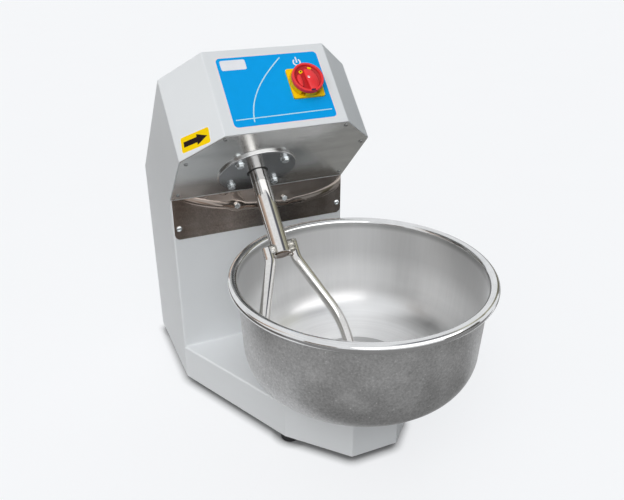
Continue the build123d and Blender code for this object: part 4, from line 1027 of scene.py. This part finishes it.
def handle_finish():
    """Red plastic with painted shade inside the rim, deeper towards the floor."""
    finish = moulded("handle_red", (0.96, 0.042, 0.048), (0.28, 0.40), gloss=0.25)
    tree = finish.node_tree
    base = tree.nodes["Principled BSDF"].inputs["Base Color"]
    level = along_axis(tree, own(tree), "Z")
    within = between(tree, from_axis(tree, (0, 0, 0), (0, 0, 1)), 1.0, 0.0, *SHADE_EDGE)
    depth = calc(tree, "MULTIPLY", within, between(tree, level, 1.0, 0.0, RECESS * MM, HANDLE_TOP * MM))
    shade = ramp(tree, depth, (0.30, 1.0), (1.0, (0.56, 0.42, 0.42)))
    fill(tree, base, blend(tree, 1.0, base.links[0].from_socket, shade, "MULTIPLY"))
    return finish


rim = [(0, 14.0), (30.2, 14.0), (30.8, 14.5), (30.8, 21.3), (30.5, 22.1), (29.7, HANDLE_TOP),
       (27.6, HANDLE_TOP), (26.8, 22.2), (26.4, 21.5), (26.2, 17.5), (25.6, RECESS), (0, RECESS)]
grip = [(-5.0, 14.4), (-1.6, -26.6), (7.8, -26.2), (13.6, -22.4), (17.0, -17.0), (18.3, -11.0), (17.9, -4.0),
        (15.9, 4.0), (12.6, 10.3), (8.6, 14.6), (5.4, 16.2), (-3.4, 16.2)]
rib = [(-19.4, 6.4), (-21.6, 0.6), (-21.8, -4.4), (-20.6, -10.0), (-18.4, -15.0), (-15.8, -17.2),
       (-13.6, -16.8), (-12.9, -12.0), (-12.7, -1.0), (-13.2, 5.4), (-14.6, 7.6), (-17.0, 7.8)]
shapes = [turned(rim, 72), slab(grip, RECESS - SUNK, HANDLE_TOP - 0.1, SOFT_EDGE),
          slab(rib, RECESS - SUNK, RIB_TOP, SOFT_EDGE)]
moulding = in_metres(joined([(shape, Matrix()) for shape in shapes]))
handle_red = handle_finish()
piece("handle_moulding", moulding, handle_red, "switch", switch_place, ["switch_handle"], 50.0)

# %% [markdown]
# ## Marks on the handle
# The handle has a yellow mark at its top, a small two-coloured mark beside the grip and a dark one low on its
# rim. They could be painted into its finish, but thin prints are easier to shift about.
# Its screw is a small bright one in the grip, over the spindle.
# They turn with the handle, so they ride on the switch body, not on the machine.

# %% Switch marks
def switch_mark(name, width, height, radius, centre, turn, level, finish):
    """Printed spot on the handle, from its middle, its turn in degrees and the level that it lies on."""
    middle = switch_place @ Matrix.Translation(Vector((*centre, 0)) * MM)
    place = middle @ Matrix.Rotation(radians(turn), 4, "Z")
    printed(name, rounded(width, height, radius), level - 0.4, level + 0.15, finish, place, 0.05, "switch")


SCREW_ASIDE, SCREW_SUNK = 1.2, 0.6
seat = switch_place @ Matrix.Translation((SCREW_ASIDE * MM, 0, (HANDLE_TOP - SCREW_SUNK) * MM))
handle_screw = socket_screw(1.5, 2.6, 1.4, 3)
piece("handle_socket_screw", handle_screw, bright_bolt, "switch", seat, ["handle_screw"], 25.0)
switch_mark("handle_top_mark", 7.6, 4.2, 0.8, (9.7, 21.0), -22, RECESS, film_yellow)
switch_mark("handle_side_mark", 7.4, 6.0, 1.4, (-9.6, 14.6), 30, RECESS, film_yellow)
switch_mark("handle_side_dot", 3.0, 3.0, 0.9, (-9.2, 15.4), 30, RECESS + 0.14, film_black)
switch_mark("handle_low_mark", 9.0, 3.4, 0.8, (2.3, -28.2), 4, HANDLE_TOP, film_plum)

# %% [markdown]
# ## Floor
# The machine stands on a plain pale floor that reaches past the horizon of the picture.
# Rays from the camera and rays reflected by metal see it white, while rays that carry bounced light see it
# darker, as if the floor were dull, because a white floor would fill the shadows that shape the machine.
# It is lit by the studio, so it keeps the machine's own soft shadow, and its glow is darkened close to the machine
# as a painted contact shadow.

# %% Floor
def seen(tree):
    """1 for rays that see the background: straight from the camera, reflected, or through glass."""
    path = add(tree, "LightPath").outputs
    mirrored = calc(tree, "MAXIMUM", path["Is Glossy Ray"], path["Is Transmission Ray"])
    return calc(tree, "MAXIMUM", path["Is Camera Ray"], mirrored)


def bare_finish(name):
    """A material with an empty tree: gives both."""
    finish, tree = new_finish(name)[:2]
    tree.nodes.clear()
    return finish, tree


def show(tree, shader):
    """Make this shader the material's surface."""
    tree.links.new(shader.outputs[0], add(tree, "OutputMaterial").inputs["Surface"])


def studio_sheet(name, corners, finish):
    """Flat sheet of the studio, which is no part of the machine."""
    mesh = bpy.data.meshes.new(name)
    mesh.from_pydata(corners, [], [[0, 1, 2, 3]])
    mesh.materials.append(finish)
    made = bpy.data.objects.new(name, mesh)
    scene.collection.objects.link(made)
    return made


def floor_finish():
    finish, tree = bare_finish("studio_floor")
    speckle = grain(tree, own(tree), 3.0, 3.0)
    colour = ramp(tree, speckle, (0.3, (0.198, 0.200, 0.204)), (0.7, (0.202, 0.204, 0.208)))
    shade = blend(tree, seen(tree), (0.30, 0.30, 0.30, 1), colour)
    dull = add(tree, "BsdfDiffuse", {"Color": shade}).outputs[0]
    # Painted contact shadow: the glow is darkened where the machine is near.
    near = between(tree, openness(tree, 0.024, 24), 0.04, 0.765, 0.48, 0.97)
    level = calc(tree, "MULTIPLY", seen(tree), near)
    glow = add(tree, "Emission", {"Color": (0.974, 0.984, 1.0, 1), "Strength": level}).outputs[0]
    show(tree, add(tree, "AddShader", {0: dull, 1: glow}))
    return finish


FLOOR_HALF = 40.0
floor_corners = [(x * FLOOR_HALF, y * FLOOR_HALF, 0) for x, y in ((-1, -1), (1, -1), (1, 1), (-1, 1))]
studio_sheet("studio_floor", floor_corners, floor_finish())
print("floor is", 2 * FLOOR_HALF, "m wide")

# %% [markdown]
# ## Light
# The machine is lit as in a light tent: everywhere some light, most of it from the upper left in front.
# Lamps could do that, but a world that brightens smoothly towards a few directions is softer, without hard
# shadows. Each soft light is a peak at its own direction, raised to a power that makes it narrow or broad.
# The left of the tent is a little warmer than its right, as it is beside a window.

# %% Studio light
SOFT_LIGHTS = {"key": ((-0.45, -0.60, 0.66), 4.45, 10.0), "top": ((0.0, 0.0, 1.0), 0.60, 4.0),
               "left": ((-0.8, 0.0, 0.6), 0.19, 4.0), "front": ((-0.20, -0.30, 0.93), 0.26, 10.0),
               "rear": ((0.30, 0.93, 0.20), 2.6, 8.0)}
world = bpy.data.worlds.new("light_tent")
scene.world = world
world.use_nodes = True
sky = world.node_tree
direction = add(sky, "TexCoord").outputs["Generated"]
level = None
for towards, peak, power in SOFT_LIGHTS.values():
    facing = calc(sky, "MAXIMUM", vector_calc(sky, "DOT_PRODUCT", direction, towards), 0.0)
    glow = calc(sky, "MULTIPLY", calc(sky, "POWER", facing, power), peak)
    level = glow if level is None else calc(sky, "ADD", level, glow)
strength = add(sky, "Mix", {0: seen(sky), 2: level, 3: 1.0}).outputs[0]
across = between(sky, along_axis(sky, direction, "X"), 0.0, 1.0, -0.9, 0.9)
tint = ramp(sky, across, (0.0, (1.0, 0.975, 0.945)), (0.30, (0.972, 0.98, 0.992)), (1.0, (0.84, 0.94, 1.0)))
colour = blend(sky, seen(sky), tint, (0.922, 0.939, 0.956, 1.0))
background = sky.nodes["Background"]
sky.links.new(colour, background.inputs["Color"])
sky.links.new(strength, background.inputs["Strength"])
print("soft lights:", list(SOFT_LIGHTS))

# %% [markdown]
# ## Cards for the metal
# Metal shows its surroundings, and in an all-white tent it would look like plastic.
# So a studio has dark and bright cards around it. Lamps could do it too, but they would also light the paint.
# These cards are seen by reflections only: the camera, the shadows and the bounced light pass them by.

# %% Cards
def card(name, middle, right, up, *tones, glow=1.0):
    """Flat card from its middle and its two half sides, with tones from its foot to its head."""
    middle, right, up = Vector(middle), Vector(right), Vector(up)
    finish, tree = bare_finish(name)
    coords = own(tree)
    offset = vector_calc(tree, "SUBTRACT", coords, middle)
    along = vector_calc(tree, "DOT_PRODUCT", offset, up / up.length_squared)
    uneven = calc(tree, "ADD", along, calc(tree, "MULTIPLY", grain(tree, coords, 1.5), 0.2))
    stops = [(k / (len(tones) - 1), tone) for k, tone in enumerate(tones)]
    tone = ramp(tree, between(tree, uneven, 0.0, 1.0, -0.9, 1.1), *stops)
    show(tree, add(tree, "Emission", {"Color": tone, "Strength": glow}))
    corners = [middle - right - up, middle + right - up, middle + right + up, middle - right + up]
    made = studio_sheet(name, corners, finish)
    made.visible_camera = made.visible_diffuse = made.visible_shadow = made.visible_transmission = False
    print(name, "at", [round(v, 2) for v in middle])


card("left_card", (-2.6, 0.40, 1.45), (0, 0.30, 0.28), (0, -0.95, 1.05),
     (0.07, 0.06, 0.05), (0.42, 0.33, 0.27), (0.50, 0.36, 0.28), (0.80, 0.72, 0.65), 1.05)
card("right_flag", (2.3, 0.60, 1.05), (0, 0.30, 0.265), (0, -0.70, 0.79),
     (0.14, 0.135, 0.11), (0.20, 0.19, 0.14), (0.50, 0.49, 0.39))
card("upper_flag", (1.18, -0.69, 2.08), (0, 0.26, 0.26), (-0.94, -0.51, 0.53),
     (0.24, 0.225, 0.165), (0.60, 0.60, 0.47), (0.16, 0.16, 0.17), (0.10, 0.105, 0.13), (0.6, 0.62, 0.66))
card("right_card", (2.6, 1.35, 0.5), (-0.5, 0.8, 0), (0, 0, 0.5), 0.20, 0.38)
card("front_right", (2.3, -2.3, 0.55), (0, 1.2, 0), (0, 0, 0.55), (0.09, 0.09, 0.08), (0.16, 0.15, 0.14))
card("front_left", (-2.6, -2.0, 0.45), (0, 0.8, 0), (0, 0, 0.45), (0.14, 0.11, 0.09), (0.30, 0.24, 0.20))
card("front_mat", (0.1, -2.4, 0.003), (1.9, 0, 0), (0, -2.1, 0), 0.27, 0.30, 0.40)
card("left_mat", (-1.45, -0.25, 0.002), (0, 0.75, 0), (-0.95, 0, 0),
     0.16, (0.15, 0.13, 0.11), (0.10, 0.08, 0.07))
card("rear_mat", (0.92, 0.85, 0.003), (0.79, 0, 0), (0, 1.0, 0), (0.30, 0.30, 0.29), (0.40, 0.40, 0.39))
card("left_rear_mat", (-1.6, 1.6, 0.003), (1.0, 0, 0), (0, 1.1, 0), (0.10, 0.085, 0.075), (0.07, 0.06, 0.055))
card("front_light", (0.45, -2.6, 1.75), (2.3, 0.5, 0), (0, 0.35, 0.65), 1.0, 1.0, glow=2.4)

# %% [markdown]
# ## Camera
# The camera stands in front and to the left, above the machine, with a normal lens.
# Its place and its lens were worked out from the machine's straight edges, so they are typed in as they are.

# %% Camera
IMAGE_WIDTH, FOCAL_PIXELS, SENSOR = 624.0, 672.2, 36.0
CAMERA_PLACE, AZIMUTH, ELEVATION = (-0.51705, -1.14015, 0.9708), radians(-23.93), radians(26.31)
camera_data = bpy.data.cameras.new("camera")
camera_data.sensor_fit = "HORIZONTAL"
camera_data.sensor_width = SENSOR
camera_data.lens = FOCAL_PIXELS / IMAGE_WIDTH * SENSOR
camera_data.clip_end = 200.0
camera = bpy.data.objects.new("camera", camera_data)
scene.collection.objects.link(camera)
camera.location = CAMERA_PLACE
look = Vector((-sin(AZIMUTH) * cos(ELEVATION), cos(AZIMUTH) * cos(ELEVATION), -sin(ELEVATION)))
camera.rotation_mode = "QUATERNION"
camera.rotation_quaternion = look.to_track_quat("-Z", "Y")
scene.camera = camera
scene.view_settings.view_transform = "Standard"
print("lens", round(camera_data.lens, 2), "mm")
